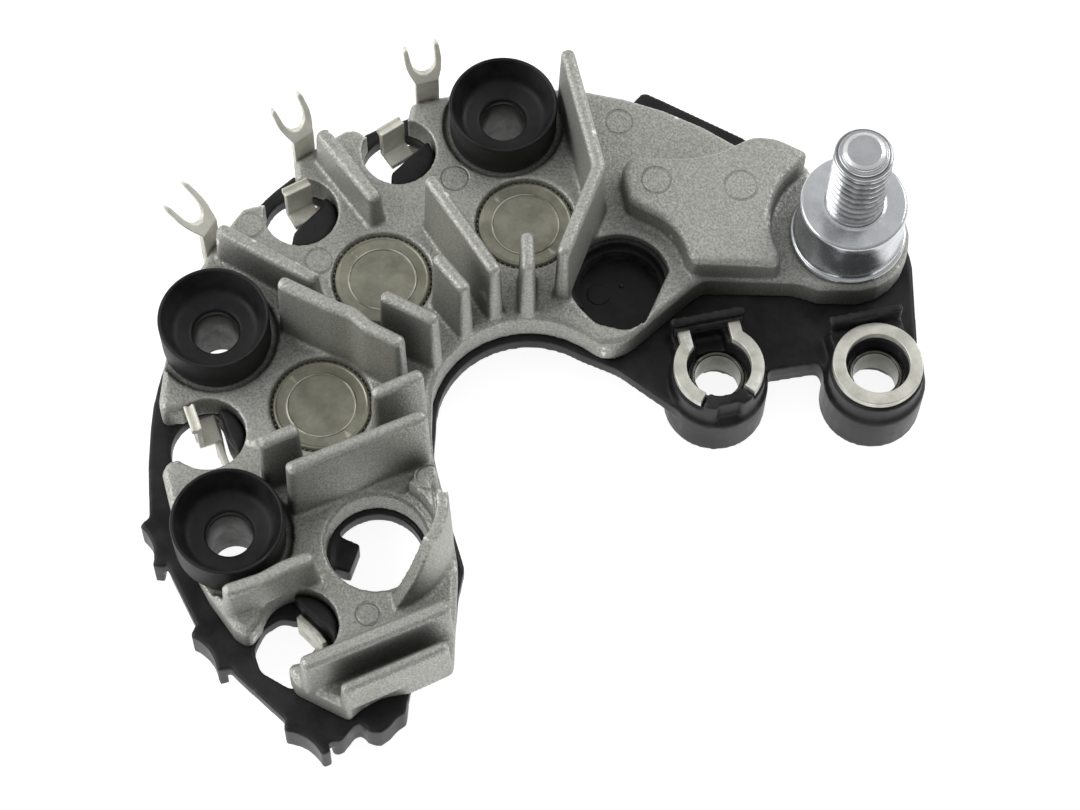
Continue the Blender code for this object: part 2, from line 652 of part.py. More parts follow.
def arm_plate_outline():
    """The thicker half of the carrier, under the output arm and the terminal bosses."""
    regulator = [(*p, 0.0) for p in arc(REGULATOR, BOSS_SKIRT_RADIUS - 0.05, 226, 372, 12)]
    ring = [(*p, 0.0) for p in arc(RING, BOSS_SKIRT_RADIUS - 0.05, 172, 360, 14)]
    corners = [
        (20.0, 6.5, 2.0), *regulator, *web_corners(0.05), *ring,
        (52.2, 14.0, 3.0), (51.7, 25.9, 4.0), (49.9, 33.4, 5.0), (43.0, 37.5, 5.0), (36.9, 38.4, 3.0),
        (28.0, 41.0, 3.0), (21.0, 33.0, 3.0), (21.5, 22.0, 2.0),
    ]
    return rounded(corners)


def plugged_windows():
    """For each lead window: its angle, the arc that its plug fills, and the plug's inner corners.

    The corners run from the arc's end back to its start.
    """
    first = [(-16.6, 39.8), (-17.2, 39.2), (-19.6, 36.4), (-20.2, 35.8)]
    second = [(-29.3, 31.4), (-29.5, 30.3), (-32.6, 26.7), (-33.1, 25.9)]
    third = [(-41.7, -0.9), (-41.2, -1.5), (-40.1, -4.6), (-39.5, -5.6)]
    spare = [(-29.6, -27.7), (-28.9, -28.5), (-26.3, -30.9), (-25.2, -31.4)]
    return (
        (WINDOW_ANGLES[2], -101.0, 36.0, first), (WINDOW_ANGLES[1], -104.0, 48.0, second),
        (WINDOW_ANGLES[0], -28.0, 80.0, third), (SPARE_WINDOW_ANGLE, -12.0, 104.0, spare),
    )


def window_hole(index, angle, start, end, inner_corners):
    """The carrier's hole under a lead window, up to the inner side of the plug."""
    centre = polar(WINDOW_CIRCLE, angle)
    outline = arc(centre, WINDOW_RADIUS + 0.2, end, start + 360, 16) + inner_corners[::-1]
    return prism(f"window_hole_{index}", outline, -1.0, CARRIER_TOP + 4)


def spare_window_hole():
    """The carrier's hole under the spare window, between its plug and the notch walls."""
    plug_side = [(-24.6, -34.5, 0.5), (-25.2, -31.4, 0.0), (-26.3, -30.9, 0.0), (-28.9, -28.5, 0.0)]
    corners = [
        (-29.4, -29.2, 0.3), (-31.7, -28.9, 1.5), (-33.7, -30.4, 1.5), (-34.9, -33.3, 2.0),
        (-33.8, -36.3, 1.5), (-29.6, -38.6, 1.5), (-26.0, -37.0, 1.5),
    ]
    return prism("spare_window_hole", rounded(plug_side + corners), -1.0, CARRIER_TOP + 4)


def window_plug(index, angle, start, end, inner_corners):
    """The insulating plug of the carrier that fills the diode's side of a lead window."""
    centre = polar(WINDOW_CIRCLE, angle)
    top = PLATE_TOP - PLUG_TOP_DROP
    radius = WINDOW_RADIUS - FIT
    foot = arc(centre, radius, start, end, 10) + inner_corners
    middle = Vector((sum(x for x, y in foot), sum(y for x, y in foot))) / len(foot)
    crown = []
    for x, y in foot:
        inwards = (middle - Vector((x, y))).normalized() * PLUG_CHAMFER
        crown.append((x + inwards.x, y + inwards.y))
    rings = [(foot, CARRIER_BOTTOM + 0.2), (foot, top - PLUG_CHAMFER), (crown, top)]
    return loft(f"window_plug_{index}", rings)


def notch_walls():
    """The hanging walls round the three clearance notches in the outer rim."""
    walls = []
    for index, angle in enumerate(NOTCH_ANGLES, start=1):
        centre = polar(NOTCH_CIRCLE, angle)
        facing = angle + 180.0
        outline = (
            arc(centre, NOTCH_RADIUS + NOTCH_WALL, facing - 32, facing + 32, 6)
            + arc(centre, NOTCH_RADIUS, facing + 32, facing - 32, 6)
        )
        walls.append(prism(
            f"notch_wall_{index}", outline, CARRIER_TOP - NOTCH_WALL_DEPTH, CARRIER_TOP - 0.01,
        ))
    return walls


def end_boss():
    """The scalloped boss that hangs under the lower end of the carrier."""
    corners = [
        (-24.6, -45.6, 0.8), (-22.8, -45.4, 0.8), (-20.8, -42.4, 1.5), (-19.4, -44.0, 0.8),
        (-17.8, -44.1, 0.8), (-16.7, -43.2, 0.8), (-15.8, -41.9, 0.8), (-14.7, -41.3, 0.8),
        (-14.5, -38.0, 0.5), (-22.0, -37.5, 0.5),
    ]
    return prism("end_boss", rounded(corners, 2), CARRIER_TOP - NOTCH_WALL_DEPTH, CARRIER_TOP - 0.02)


def socket_block():
    """The block that stands in the opening under the empty socket."""
    centre = polar(DIODE_CIRCLE, EMPTY_SOCKET_ANGLE)
    corners = [(-7.2, 3.8), (-2.4, 1.8), (-3.6, -2.2), (-7.2, -1.0)]
    outline = [(centre[0] + x, centre[1] + y) for x, y in corners]
    return prism("socket_block", outline, CARRIER_BOTTOM - 1.5, CARRIER_TOP - 0.4)


def boss_frame(centre, along, out):
    """A plan point from a boss centre: along its pad's far edge, and out towards the pad."""
    along_axis = Vector(polar(1.0, PAD_ANGLE))
    out_axis = Vector(polar(1.0, PAD_ANGLE + 90.0))
    place = Vector(centre) + along_axis * along + out_axis * out
    return (place.x, place.y)


def boss_box(name, centre, left, right, near, far, bottom, top, corner=0.3):
    corners = [(*boss_frame(centre, a, o), corner) for a, o in (
        (left, near), (right, near), (right, far), (left, far),
    )]
    return prism(name, rounded(corners), bottom, top)


def boss_pad(index, centre):
    """The block behind a terminal boss, with the ridge bar across its far end."""
    half = PAD_WIDTH / 2
    near_ridge = PAD_REACH - RIDGE_WIDTH
    return [
        boss_box(f"boss_pad_{index}", centre, -half, half, 0.0, PAD_REACH, ARM_CARRIER_BOTTOM + 0.5,
                 BOSS_FACE - 0.1, 0.4),
        boss_box(f"boss_ridge_{index}", centre, -half, half, near_ridge, PAD_REACH,
                 BOSS_FACE - 0.5, PLATE_TOP + RIDGE_RISE),
    ]


def terminal_boss(index, centre, face):
    profile = [
        (0.0, 0.0), (BOSS_SKIRT_RADIUS - 0.35, 0.0), (BOSS_SKIRT_RADIUS, 0.35),
        (BOSS_SKIRT_RADIUS, CARRIER_TOP - 0.3), (BOSS_RADIUS, CARRIER_TOP), (BOSS_RADIUS, face), (0.0, face),
    ]
    return turned(f"terminal_boss_{index}", profile, centre, 28)


def sector(centre, inner, outer, start, end, steps=8):
    return arc(centre, outer, start, end, steps) + arc(centre, inner, end, start, steps)


def terminal_seat():
    """What is cut from the first boss for its open ring. The plastic left stands in the ring's gap."""
    start, end = TERMINAL_GAP[1] - 4.0, TERMINAL_GAP[0] + 364.0
    outline = sector(REGULATOR, 2.5, BOSS_SKIRT_RADIUS + 1.5, start, end, 12)
    return prism("terminal_seat", outline, BOSS_FACE, BOSS_FACE + 4)


def boss_cutters():
    """The bores of the terminal bosses, the slot between the arms and the tunnel under the ridge."""
    cutters = []
    for index, centre in enumerate((REGULATOR, RING), start=1):
        top = BOSS_FACE + 3
        profile = [
            (0.0, -1.0), (BOSS_COUNTERBORE, -1.0), (BOSS_COUNTERBORE, BOSS_SLEEVE_SEAT - FIT),
            (BOSS_BORE, BOSS_SLEEVE_SEAT - FIT), (BOSS_BORE, BOSS_SLEEVE_TOP + FIT),
            (BOSS_BORE + 0.3, BOSS_SLEEVE_TOP + FIT + 0.3), (BOSS_BORE + 0.3, top), (0.0, top),
        ]
        cutters.append(turned(f"boss_bore_{index}", profile, centre, 20))
    slot = TERMINAL_ARM_INNER - FIT - 0.2
    cutters.append(boss_box("arm_slot", REGULATOR, -slot, slot, 2.0, PAD_REACH - RIDGE_WIDTH,
                            CARRIER_TOP + 0.8, BOSS_FACE + 1))
    reach = TERMINAL_ARM_OUTER + FIT
    cutters.append(boss_box("arm_tunnel", REGULATOR, -reach, reach, 5.0, TERMINAL_ARM_REACH + FIT,
                            BOSS_FACE - 0.25, BOSS_FACE + TERMINAL_THICKNESS + 2 * FIT, 0.1))
    notch = TERMINAL_GAP[0] + 22, TERMINAL_GAP[1] - 22
    outline = sector(REGULATOR, BOSS_RADIUS - 0.7, BOSS_SKIRT_RADIUS + 2, *notch)
    cutters.append(prism("gap_notch", outline, CARRIER_TOP + 0.3, BOSS_FACE + 3))
    return cutters


def heat_stake_place(index):
    path = LEAD_PATHS[index]
    start, end = Vector(path[0]), Vector(path[1])
    return tuple(start.lerp(end, 0.5))


def heat_stakes():
    """The pegs that hold each conductor under the carrier, with their flattened heads."""
    stakes = []
    for index in range(len(LEAD_PATHS)):
        head = STRIP_BOTTOM - FIT
        profile = [
            (0.0, head - 0.9), (1.4, head - 0.9), (1.9, head - 0.5), (1.9, head),
            (STAKE_RADIUS, head), (STAKE_RADIUS, CARRIER_BOTTOM + 0.5), (0.0, CARRIER_BOTTOM + 0.5),
        ]
        stakes.append(turned(f"heat_stake_{index + 1}", profile, heat_stake_place(index), 12))
    return stakes


def terminal_carrier(finish):
    body = prism("terminal_carrier", carrier_outline(), CARRIER_BOTTOM, CARRIER_TOP, finish)
    arm = prism("arm_plate", arm_plate_outline(), ARM_CARRIER_BOTTOM, CARRIER_TOP - 0.01)
    stud_floor = prism("stud_floor", circle(STUD, 9.4), 1.9, CARRIER_BOTTOM)
    raised_face = BOSS_FACE + FIT + TERMINAL_THICKNESS
    fuse(body, arm, stud_floor, terminal_boss(1, REGULATOR, raised_face))
    cut(body, terminal_seat())
    fuse(body, terminal_boss(2, RING, BOSS_FACE), *boss_pad(1, REGULATOR), *boss_pad(2, RING))
    fuse(body, *notch_walls(), end_boss())
    holes = [spare_window_hole()]
    for index, window in enumerate(plugged_windows(), start=1):
        fuse(body, window_plug(index, *window))
        if index <= len(WINDOW_ANGLES):
            holes.append(window_hole(index, *window))
    for index, angle in enumerate(NOTCH_ANGLES, start=1):
        outline = circle(polar(NOTCH_CIRCLE, angle), NOTCH_RADIUS)
        holes.append(prism(f"rim_notch_{index}", outline, -1.0, CARRIER_TOP + 1))
    for index, angle in enumerate(BUSHING_ANGLES, start=1):
        outline = circle(polar(BUSHING_CIRCLE, angle), SLEEVE_RADIUS + FIT, 20)
        holes.append(prism(f"sleeve_hole_{index}", outline, -1.0, CARRIER_TOP + 1))
    for index, angle in enumerate(DIODE_ANGLES, start=1):
        outline = circle(polar(DIODE_CIRCLE, angle), LEAD_RADIUS + 1.2, SMALL_SIDES)
        holes.append(prism(f"lead_hole_{index}", outline, -1.0, CARRIER_TOP + 1))
    socket = circle(polar(DIODE_CIRCLE, EMPTY_SOCKET_ANGLE), DIODE_RADIUS - 0.2)
    holes.append(prism("open_socket", socket, -1.0, CARRIER_TOP + 1))
    pocket_radius = (STUD_HEAD_FLATS / 2 + FIT) / math.cos(math.radians(30))
    pocket_floor = CARRIER_TOP - STUD_HEAD_HEIGHT - FIT
    holes.append(prism("stud_pocket", circle(STUD, pocket_radius, 6), pocket_floor, CARRIER_TOP + 1))
    for index, (angle, radius, _) in enumerate(FORKS, start=1):
        holes.append(fork_slot(index, angle, radius))
    fuse(body, *heat_stakes())
    cut(body, *holes, *boss_cutters())
    fuse(body, socket_block())
    solve_as_manifold(body)
    return body


# Terminals

def ring_terminal(finish):
    bottom = BOSS_FACE + FIT
    top = bottom + TERMINAL_THICKNESS
    profile = [
        (TERMINAL_INNER_RADIUS, bottom), (TERMINAL_INNER_RADIUS, top - 0.1),
        (TERMINAL_INNER_RADIUS + 0.1, top), (TERMINAL_OUTER_RADIUS - 0.15, top),
        (TERMINAL_OUTER_RADIUS, top - 0.15), (TERMINAL_OUTER_RADIUS, bottom),
    ]
    turned("ring_terminal", profile, RING, 32, finish)


def regulator_terminal(finish):
    """An open ring whose two arms meet in a bar under the ridge."""
    bottom = BOSS_FACE + FIT
    top = bottom + TERMINAL_THICKNESS
    open_from, open_to = TERMINAL_GAP
    inner, outer = TERMINAL_INNER_RADIUS, TERMINAL_OUTER_RADIUS
    north = PAD_ANGLE + 90.0
    outer_turn = math.degrees(math.acos(TERMINAL_ARM_OUTER / outer))
    inner_turn = math.degrees(math.acos(TERMINAL_ARM_INNER / inner))
    right = arc(REGULATOR, outer, open_to, PAD_ANGLE + outer_turn, 9)
    left = arc(REGULATOR, outer, PAD_ANGLE + 180 - outer_turn, open_from + 360, 9)
    inside = arc(REGULATOR, inner, open_from + 360, PAD_ANGLE + 180 - inner_turn, 9)
    inside_right = arc(REGULATOR, inner, PAD_ANGLE + inner_turn, open_to, 9)
    reach = TERMINAL_ARM_REACH
    bar = reach - 0.9
    far = [boss_frame(REGULATOR, a, reach) for a in (TERMINAL_ARM_OUTER, -TERMINAL_ARM_OUTER)]
    near = [boss_frame(REGULATOR, a, bar) for a in (-TERMINAL_ARM_INNER, TERMINAL_ARM_INNER)]
    outline = right + far + left + inside + near + inside_right
    prism("regulator_terminal", outline, bottom, top, finish)


# Stamped conductors

def local_box(name, origin, angle, profile, width, finish=None):
    """A profile of (out, height) points, made `width` wide across the direction `angle`."""
    out = Vector(polar(1.0, angle))
    across = Vector((-out.y, out.x))
    rings = []
    for side in (-0.5, 0.5):
        shift = Vector(origin) + across * side * width
        rings.append([(shift.x + out.x * u, shift.y + out.y * u, z) for u, z in profile])
    shape = bmesh.new()
    ends = [[shape.verts.new(point) for point in ring] for ring in rings]
    shape.faces.new(ends[0])
    shape.faces.new(ends[1])
    for i in range(len(profile)):
        j = (i + 1) % len(profile)
        shape.faces.new((ends[0][i], ends[0][j], ends[1][j], ends[1][i]))
    return placed(name, shape, finish)


def clip(index, origin, angle, width, tongue_length):
    """The upright clip in a lead window: a leaf with a channel along its top and a tongue at its foot."""
    top = PLATE_TOP + CLIP_RISE
    tongue = PLATE_TOP - CLIP_TONGUE_DROP
    underside = tongue - STRIP_THICKNESS
    profile = [
        (0.0, underside), (STRIP_THICKNESS, underside), (STRIP_THICKNESS, top - 1.3),
        (1.45, top - 1.1), (1.45, top - 0.1), (1.3, top), (1.1, top), (0.95, top - 0.4),
        (0.5, top - 0.4), (0.35, top), (0.1, top), (0.0, top - 0.1), (0.0, tongue),
        (-tongue_length + 0.2, tongue), (-tongue_length, tongue - 0.2),
        (-tongue_length, underside),
    ]
    leaf = local_box(f"clip_{index}", origin, angle, profile, width)
    inset = CLIP_FOOT_WIDTH / 2 - width / 2 + 0.05
    foot_place = polar(inset, angle + 90.0, origin)
    foot_profile = [
        (0.02, STRIP_BOTTOM + 0.03), (STRIP_THICKNESS - 0.02, STRIP_BOTTOM + 0.03),
        (STRIP_THICKNESS - 0.02, tongue + 0.5), (0.02, tongue + 0.5),
    ]
    fuse(leaf, local_box(f"clip_foot_{index}", foot_place, angle, foot_profile, CLIP_FOOT_WIDTH))
    solve_as_manifold(leaf)
    return leaf


def fork(index, angle, radius, lean):
    """An upright stem that opens into two prongs. They lean away from the axis above the stem."""
    half = FORK_SPAN / 2
    inner = half - FORK_PRONG
    root = PLATE_TOP + FORK_ROOT_RISE
    tip = PLATE_TOP + FORK_TIP_RISE
    stem = FORK_STEM_WIDTH / 2
    foot = STRIP_BOTTOM + 0.02
    bend = root - 1.0
    bowl = []
    for degrees in (30, 60, 90, 120, 150):
        turn = math.radians(degrees)
        bowl.append((inner * math.cos(turn), root + inner * (1 - math.sin(turn))))
    side = [(stem, bend), (half - 0.3, root + 0.3), (half, root + 1.4), (half, tip - 0.5), (half - 0.35, tip)]
    inside = [(inner + 0.15, tip - 0.3), (inner, root + inner)]
    prongs = side + inside + bowl + [(-t, z) for t, z in reversed(side + inside)]
    outline = [(-stem, foot), (stem, foot)] + prongs
    shape = bmesh.new()
    sides = []
    for depth in (0.0, STRIP_THICKNESS):
        verts = [shape.verts.new((t, depth, z)) for t, z in outline]
        upper = shape.faces.new(verts[2:])
        shape.faces.new((verts[0], verts[1], verts[2], verts[-1]))
        bmesh.ops.triangulate(shape, faces=[upper])
        sides.append(verts)
    near, far = sides
    for i in range(len(outline)):
        j = (i + 1) % len(outline)
        shape.faces.new((near[i], near[j], far[j], far[i]))
    out = Vector(polar(1.0, angle))
    across = Vector((-out.y, out.x))
    for vert in shape.verts:
        along, depth, height = vert.co
        place = out * (radius + max(0.0, height - bend) * lean + depth) + across * along
        vert.co = (place.x, place.y, height)
    return placed(f"fork_{index}", shape)


def fork_slot(index, angle, radius):
    """The slot in the carrier's rim for the stem of a fork."""
    half = FORK_STEM_WIDTH / 2 + FIT
    profile = [(-FIT, -1.0), (6.0, -1.0), (6.0, CARRIER_TOP + 1), (-FIT, CARRIER_TOP + 1)]
    return local_box(f"fork_slot_{index}", polar(radius, angle), angle, profile, 2 * half)


def phase_conductor(index, finish):
    """One conductor: a flat strip, the eye for the diode's lead, the clip and the fork."""
    outline = band(LEAD_PATHS[index], STRIP_WIDTH / 2, 0.3, 2.0)
    body = prism(f"phase_conductor_{index + 1}", outline, STRIP_BOTTOM, STRIP_TOP, finish)
    branch = band(FORK_PATHS[index], STRIP_WIDTH / 2 - 0.2, 0.3, 2.0)
    fuse(body, prism(f"branch_{index + 1}", branch, STRIP_BOTTOM + 0.01, STRIP_TOP - 0.01))
    leaf_strip = band(LEAF_PATHS[index], LEAF_STRIP_WIDTH / 2, 0.2)
    fuse(body, prism(f"leaf_strip_{index + 1}", leaf_strip, STRIP_BOTTOM + 0.03, STRIP_TOP - 0.03))
    eye_centre = polar(DIODE_CIRCLE, DIODE_ANGLES[index])
    eye = prism(f"eye_{index + 1}", circle(eye_centre, 2.6, 20), STRIP_BOTTOM + 0.01, STRIP_TOP - 0.01)
    fuse(body, eye, clip(index + 1, *CLIPS[index]), fork(index + 1, *FORKS[index]))
    if index == 0:
        tail = band(TAIL_PATH, STRIP_THICKNESS / 2, 0.0)
        foot = band(TAIL_FOOT, 0.6, 0.1)
        fuse(body, prism("tail_foot", foot, STRIP_BOTTOM + 0.04, STRIP_TOP - 0.04))
        fuse(body, prism("on_edge_tail", tail, STRIP_BOTTOM + 0.02, PLATE_TOP - TAIL_DROP))
    hole = prism(f"eye_hole_{index + 1}", circle(eye_centre, LEAD_RADIUS + FIT, 12), -1.0, STRIP_TOP + 1)
    stake = circle(heat_stake_place(index), STAKE_RADIUS + FIT, 12)
    cut(body, hole, prism(f"stake_hole_{index + 1}", stake, -1.0, STRIP_TOP + 1))
    solve_as_manifold(body)


def neutral_conductor(finish):
    """The strip on edge that shows in the spare lead window, with its foot under the carrier."""
    outline = band(NEUTRAL_PATH, STRIP_THICKNESS / 2, 0.0)
    body = prism("neutral_conductor", outline, STRIP_BOTTOM, PLATE_TOP - NEUTRAL_DROP, finish)
    foot = band(NEUTRAL_FOOT, STRIP_WIDTH / 2, 0.6)
    fuse(body, prism("neutral_foot", foot, STRIP_BOTTOM + 0.01, STRIP_TOP))


def boss_sleeve(index, centre, finish):
    wide = BOSS_SLEEVE_BORE + SLEEVE_CHAMFER
    seat = BOSS_SLEEVE_SEAT
    profile = [
        (BOSS_SLEEVE_BORE, seat + SLEEVE_CHAMFER), (BOSS_SLEEVE_BORE, BOSS_SLEEVE_TOP),
        (BOSS_SLEEVE_RADIUS, BOSS_SLEEVE_TOP), (BOSS_SLEEVE_RADIUS, seat), (wide, seat),
    ]
    turned(f"boss_sleeve_{index}", profile, centre, 20, finish)


def clear_scene():
    for item in list(bpy.data.objects):
        bpy.data.objects.remove(item, do_unlink=True)


def stand_on_origin():
    """Parents everything to one empty, which brings the middle of the footprint to the origin."""
    graph = bpy.context.evaluated_depsgraph_get()
    corners = []
    for body in bpy.data.objects:
        if not body.hide_render:
            corners += [Vector(corner) for corner in body.evaluated_get(graph).bound_box]
    low = [min(corner[axis] for corner in corners) for axis in range(3)]
    high = [max(corner[axis] for corner in corners) for axis in range(3)]
    frame = bpy.data.objects.new("rectifier_frame", None)
    for body in list(bpy.data.objects):
        if body != frame:
            body.parent = frame
    bpy.context.scene.collection.objects.link(frame)
    frame.location = (-(low[0] + high[0]) / 2, -(low[1] + high[1]) / 2, -low[2])


def main():
    clear_scene()
    aluminium = material("cast_aluminium", (0.48, 0.48, 0.45), 0.55, 0.6)
    plastic = material("black_plastic", (0.018, 0.018, 0.02), 0.45, 0.0)
    nickel = material("nickel_plate", (0.33, 0.32, 0.26), 0.42, 0.9)
    tin = material("tin_plate", (0.66, 0.66, 0.61), 0.38, 0.9)
    zinc = material("zinc_steel", (0.62, 0.63, 0.66), 0.25, 1.0)
    olive = material("sleeve_steel", (0.20, 0.20, 0.16), 0.5, 0.8)
    resin = material("resin_seal", (0.05, 0.05, 0.05), 0.6, 0.0)
    heat_sink(aluminium)
    terminal_carrier(plastic)
    for index, angle in enumerate(DIODE_ANGLES, start=1):
        diode(index, angle, nickel, resin, tin)
    for index, angle in enumerate(BUSHING_ANGLES, start=1):
        bushing(index, angle, plastic, olive)
    output_stud(zinc, zinc)
    ring_terminal(tin)
    regulator_terminal(tin)
    for index in range(len(LEAD_PATHS)):
        phase_conductor(index, tin)
    neutral_conductor(tin)
    for index, centre in enumerate((REGULATOR, RING), start=1):
        boss_sleeve(index, centre, olive)
    stand_on_origin()


main()
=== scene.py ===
"""Looks of the alternator rectifier: cast heat sink, moulded carrier, plated conductors, stud and diodes.

Each piece in sight replaces its node of the frame, and the hidden ones keep the frame's shapes. Lengths
are in metres, profiles and plan points in millimetres. Places in the plan are measured from the
alternator's axis. Run the file as a script.
"""

import math

import bmesh
import bpy
from bpy.props import FloatProperty, FloatVectorProperty, IntProperty, PointerProperty
from mathutils import Matrix, Vector


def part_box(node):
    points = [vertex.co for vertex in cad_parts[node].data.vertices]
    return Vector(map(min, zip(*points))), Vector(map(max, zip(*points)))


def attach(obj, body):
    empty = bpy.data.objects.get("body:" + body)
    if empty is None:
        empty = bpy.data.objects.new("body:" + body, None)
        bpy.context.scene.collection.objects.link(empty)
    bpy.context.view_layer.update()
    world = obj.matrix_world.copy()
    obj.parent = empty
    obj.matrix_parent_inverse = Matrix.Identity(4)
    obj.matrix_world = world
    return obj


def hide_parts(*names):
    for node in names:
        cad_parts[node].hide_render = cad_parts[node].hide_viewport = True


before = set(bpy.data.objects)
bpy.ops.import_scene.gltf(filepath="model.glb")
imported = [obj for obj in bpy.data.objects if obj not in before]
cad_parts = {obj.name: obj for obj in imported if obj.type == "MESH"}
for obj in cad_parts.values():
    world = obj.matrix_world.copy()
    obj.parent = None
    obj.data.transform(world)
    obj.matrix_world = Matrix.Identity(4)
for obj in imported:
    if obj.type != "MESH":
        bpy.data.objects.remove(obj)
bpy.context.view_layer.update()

bl_info = {
    "name": "Alternator Rectifier",
    "version": (1, 0, 0),
    "blender": (4, 5, 0),
    "location": "View3D > Sidebar > Rectifier",
    "description": "Finishes and fine shapes of a cast alternator rectifier on its moulded carrier",
    "category": "Add Mesh",
}

MM = 0.001
PLATE_THICKNESS = 5.0 * MM
RING_FROM_AXIS = Vector((46.4, 8.5, 0.0)) * MM
WELL_FROM_AXIS = Vector((11.5, 19.6, 0.0)) * MM
REGULATOR_FROM_AXIS = Vector((25.1, 7.4, 0.0)) * MM
STUD_RADIUS = 3.95 * MM
TIP_STEP_RADIUS = 2.52 * MM
BEAD_RADIUS = 4.56 * MM
KNURL_RADIUS = 6.56 * MM
KNURL_HEIGHT = 3.2 * MM

# The thread's depth, as a share of its pitch
THREAD_DEPTH = 0.50

# Degrees from the plan's X: the ridges of both terminals, the ends of the open one and of the well's lining
PAD_TURN = 14.0
REGULATOR_ENDS = (-38.0, 247.0)
LINING_ENDS = (-32.0, 212.0)

# Points this near to each other are one point
TOUCHING = 0.001 * MM

# The stage: its sizes in metres, and how bright the floor looks to the camera
CAMERA_FROM_AXIS = Vector((1.3, 0.5, 0.0)) * MM
LAMPS_AIM_AT = Vector((0.0, 0.0, 10.0)) * MM
SENSOR_WIDTH = 36.0
FLOOR_REACH = 3.0
FLOOR_GLOW = 0.90
WHITE = (1.0, 1.0, 1.0, 1.0)


def corners(node):
    low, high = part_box(node)
    return Vector(low), Vector(high)


def middle(node):
    """The point on the floor under the middle of a node."""
    low, high = corners(node)
    return Vector(((low.x + high.x) / 2, (low.y + high.y) / 2, 0.0))


def heights(node):
    """The bottom and the top of a node in millimetres."""
    low, high = corners(node)
    return low.z / MM, high.z / MM


AXIS = middle("ring_terminal") - RING_FROM_AXIS
PLATE_TOP = corners("heat_sink")[0].z + PLATE_THICKNESS

# Lamps round the alternator's axis: name, place from the point they aim at, size and power
LAMPS = (
    ("left_lamp", (-0.80, -0.03, 0.52), 0.85, 4.2),
    ("right_lamp", (0.55, 0.45, 0.55), 0.35, 1.8),
)

# The studio's light by direction: from the first value to the second, it goes from the third to the fourth
SKY = (
    ("Z", (-0.1, 0.9, 0.42, 0.62)),
    ("Y", (-0.7, 0.7, 0.55, 1.15)),
    ("X", (-0.95, -0.45, 1.6, 1.0)),
)

# Plan place of each ejector mark in millimetres, its height above the plate and its size against the usual
EJECTOR_MARKS = (
    (10.9, 43.9, 0.0, 1.0), (16.0, 32.8, 4.0, 1.08), (27.6, 32.4, 4.0, 1.2), (-11.3, 34.3, 0.0, 1.0),
    (-38.9, 26.0, 0.0, 1.0), (-29.2, 20.9, 0.0, 1.0), (-12.8, -11.9, 3.5, 0.95), (-20.0, -29.9, 0.0, 0.83),
)


# Settings

class CastSettings(bpy.types.PropertyGroup):
    """The cast aluminium of the heat sink."""
    colour: FloatVectorProperty(
        name="Colour", description="Base colour of the casting", subtype="COLOR",
        size=3, min=0.0, max=1.0, default=(0.545, 0.545, 0.508),
    )
    roughness: FloatProperty(
        name="Roughness", description="Roughness of the casting's skin", subtype="FACTOR",
        min=0.0, max=1.0, default=0.5,
    )
    grain_size: FloatProperty(
        name="Grain size", description="Size of the blasted grain", subtype="DISTANCE", unit="LENGTH",
        precision=5, default=0.30 * MM,
    )
    voxel: FloatProperty(
        name="Detail", description="Cell of the mesh that rounds the cast edges", subtype="DISTANCE",
        unit="LENGTH", precision=5, default=0.28 * MM,
    )
    mark_radius: FloatProperty(
        name="Ejector mark radius", description="Radius of the ejector pins' marks", subtype="DISTANCE",
        unit="LENGTH", precision=5, default=1.85 * MM,
    )


class PlasticSettings(bpy.types.PropertyGroup):
    """The black moulding of the carrier and the bushings."""
    colour: FloatVectorProperty(
        name="Colour", description="Base colour of the plastic", subtype="COLOR",
        size=3, min=0.0, max=1.0, default=(0.0165, 0.0165, 0.0175),
    )
    roughness: FloatProperty(
        name="Roughness", description="Roughness of the moulded faces", subtype="FACTOR",
        min=0.0, max=1.0, default=0.38,
    )
    voxel: FloatProperty(
        name="Detail", description="Cell of the mesh that rounds the moulded edges", subtype="DISTANCE",
        unit="LENGTH", precision=5, default=0.34 * MM,
    )


class PlatingSettings(bpy.types.PropertyGroup):
    """The plated metals."""
    tin: FloatVectorProperty(
        name="Tin", description="Colour of the tinned conductors", subtype="COLOR",
        size=3, min=0.0, max=1.0, default=(0.76, 0.75, 0.67),
    )
    zinc: FloatVectorProperty(
        name="Zinc", description="Colour of the stud and its collar", subtype="COLOR",
        size=3, min=0.0, max=1.0, default=(0.66, 0.68, 0.70),
    )
    nickel: FloatVectorProperty(
        name="Nickel", description="Colour of the diode cups", subtype="COLOR",
        size=3, min=0.0, max=1.0, default=(0.34, 0.335, 0.27),
    )
    olive: FloatVectorProperty(
        name="Sleeve steel", description="Colour of the steel sleeves", subtype="COLOR",
        size=3, min=0.0, max=1.0, default=(0.12, 0.12, 0.10),
    )
    thread_pitch: FloatProperty(
        name="Thread pitch", description="Pitch of the stud's thread", subtype="DISTANCE",
        unit="LENGTH", precision=5, default=1.35 * MM,
    )
    knurl_count: IntProperty(
        name="Knurl ridges", description="Ridges round each diode's rim", min=12, max=120, default=54,
    )


class StageSettings(bpy.types.PropertyGroup):
    """The floor, the lamps and the camera."""
    floor_colour: FloatVectorProperty(
        name="Floor", description="Colour of the floor", subtype="COLOR",
        size=3, min=0.0, max=1.0, default=(0.45, 0.45, 0.45),
    )
    elevation: FloatProperty(
        name="Camera elevation", description="The camera's angle above the horizon", subtype="ANGLE",
        unit="ROTATION", default=math.radians(65.38),
    )
    roll: FloatProperty(
        name="Camera roll", description="The camera's turn about its view", subtype="ANGLE",
        unit="ROTATION", default=math.radians(1.85),
    )
    distance: FloatProperty(
        name="Camera distance", description="From the camera to its aim", subtype="DISTANCE",
        unit="LENGTH", default=442.9 * MM,
    )
    lens: FloatProperty(
        name="Lens", description="Focal length on a 36 mm sensor", subtype="DISTANCE_CAMERA",
        default=111.2,
    )


# Node helpers

GROUPS = {}


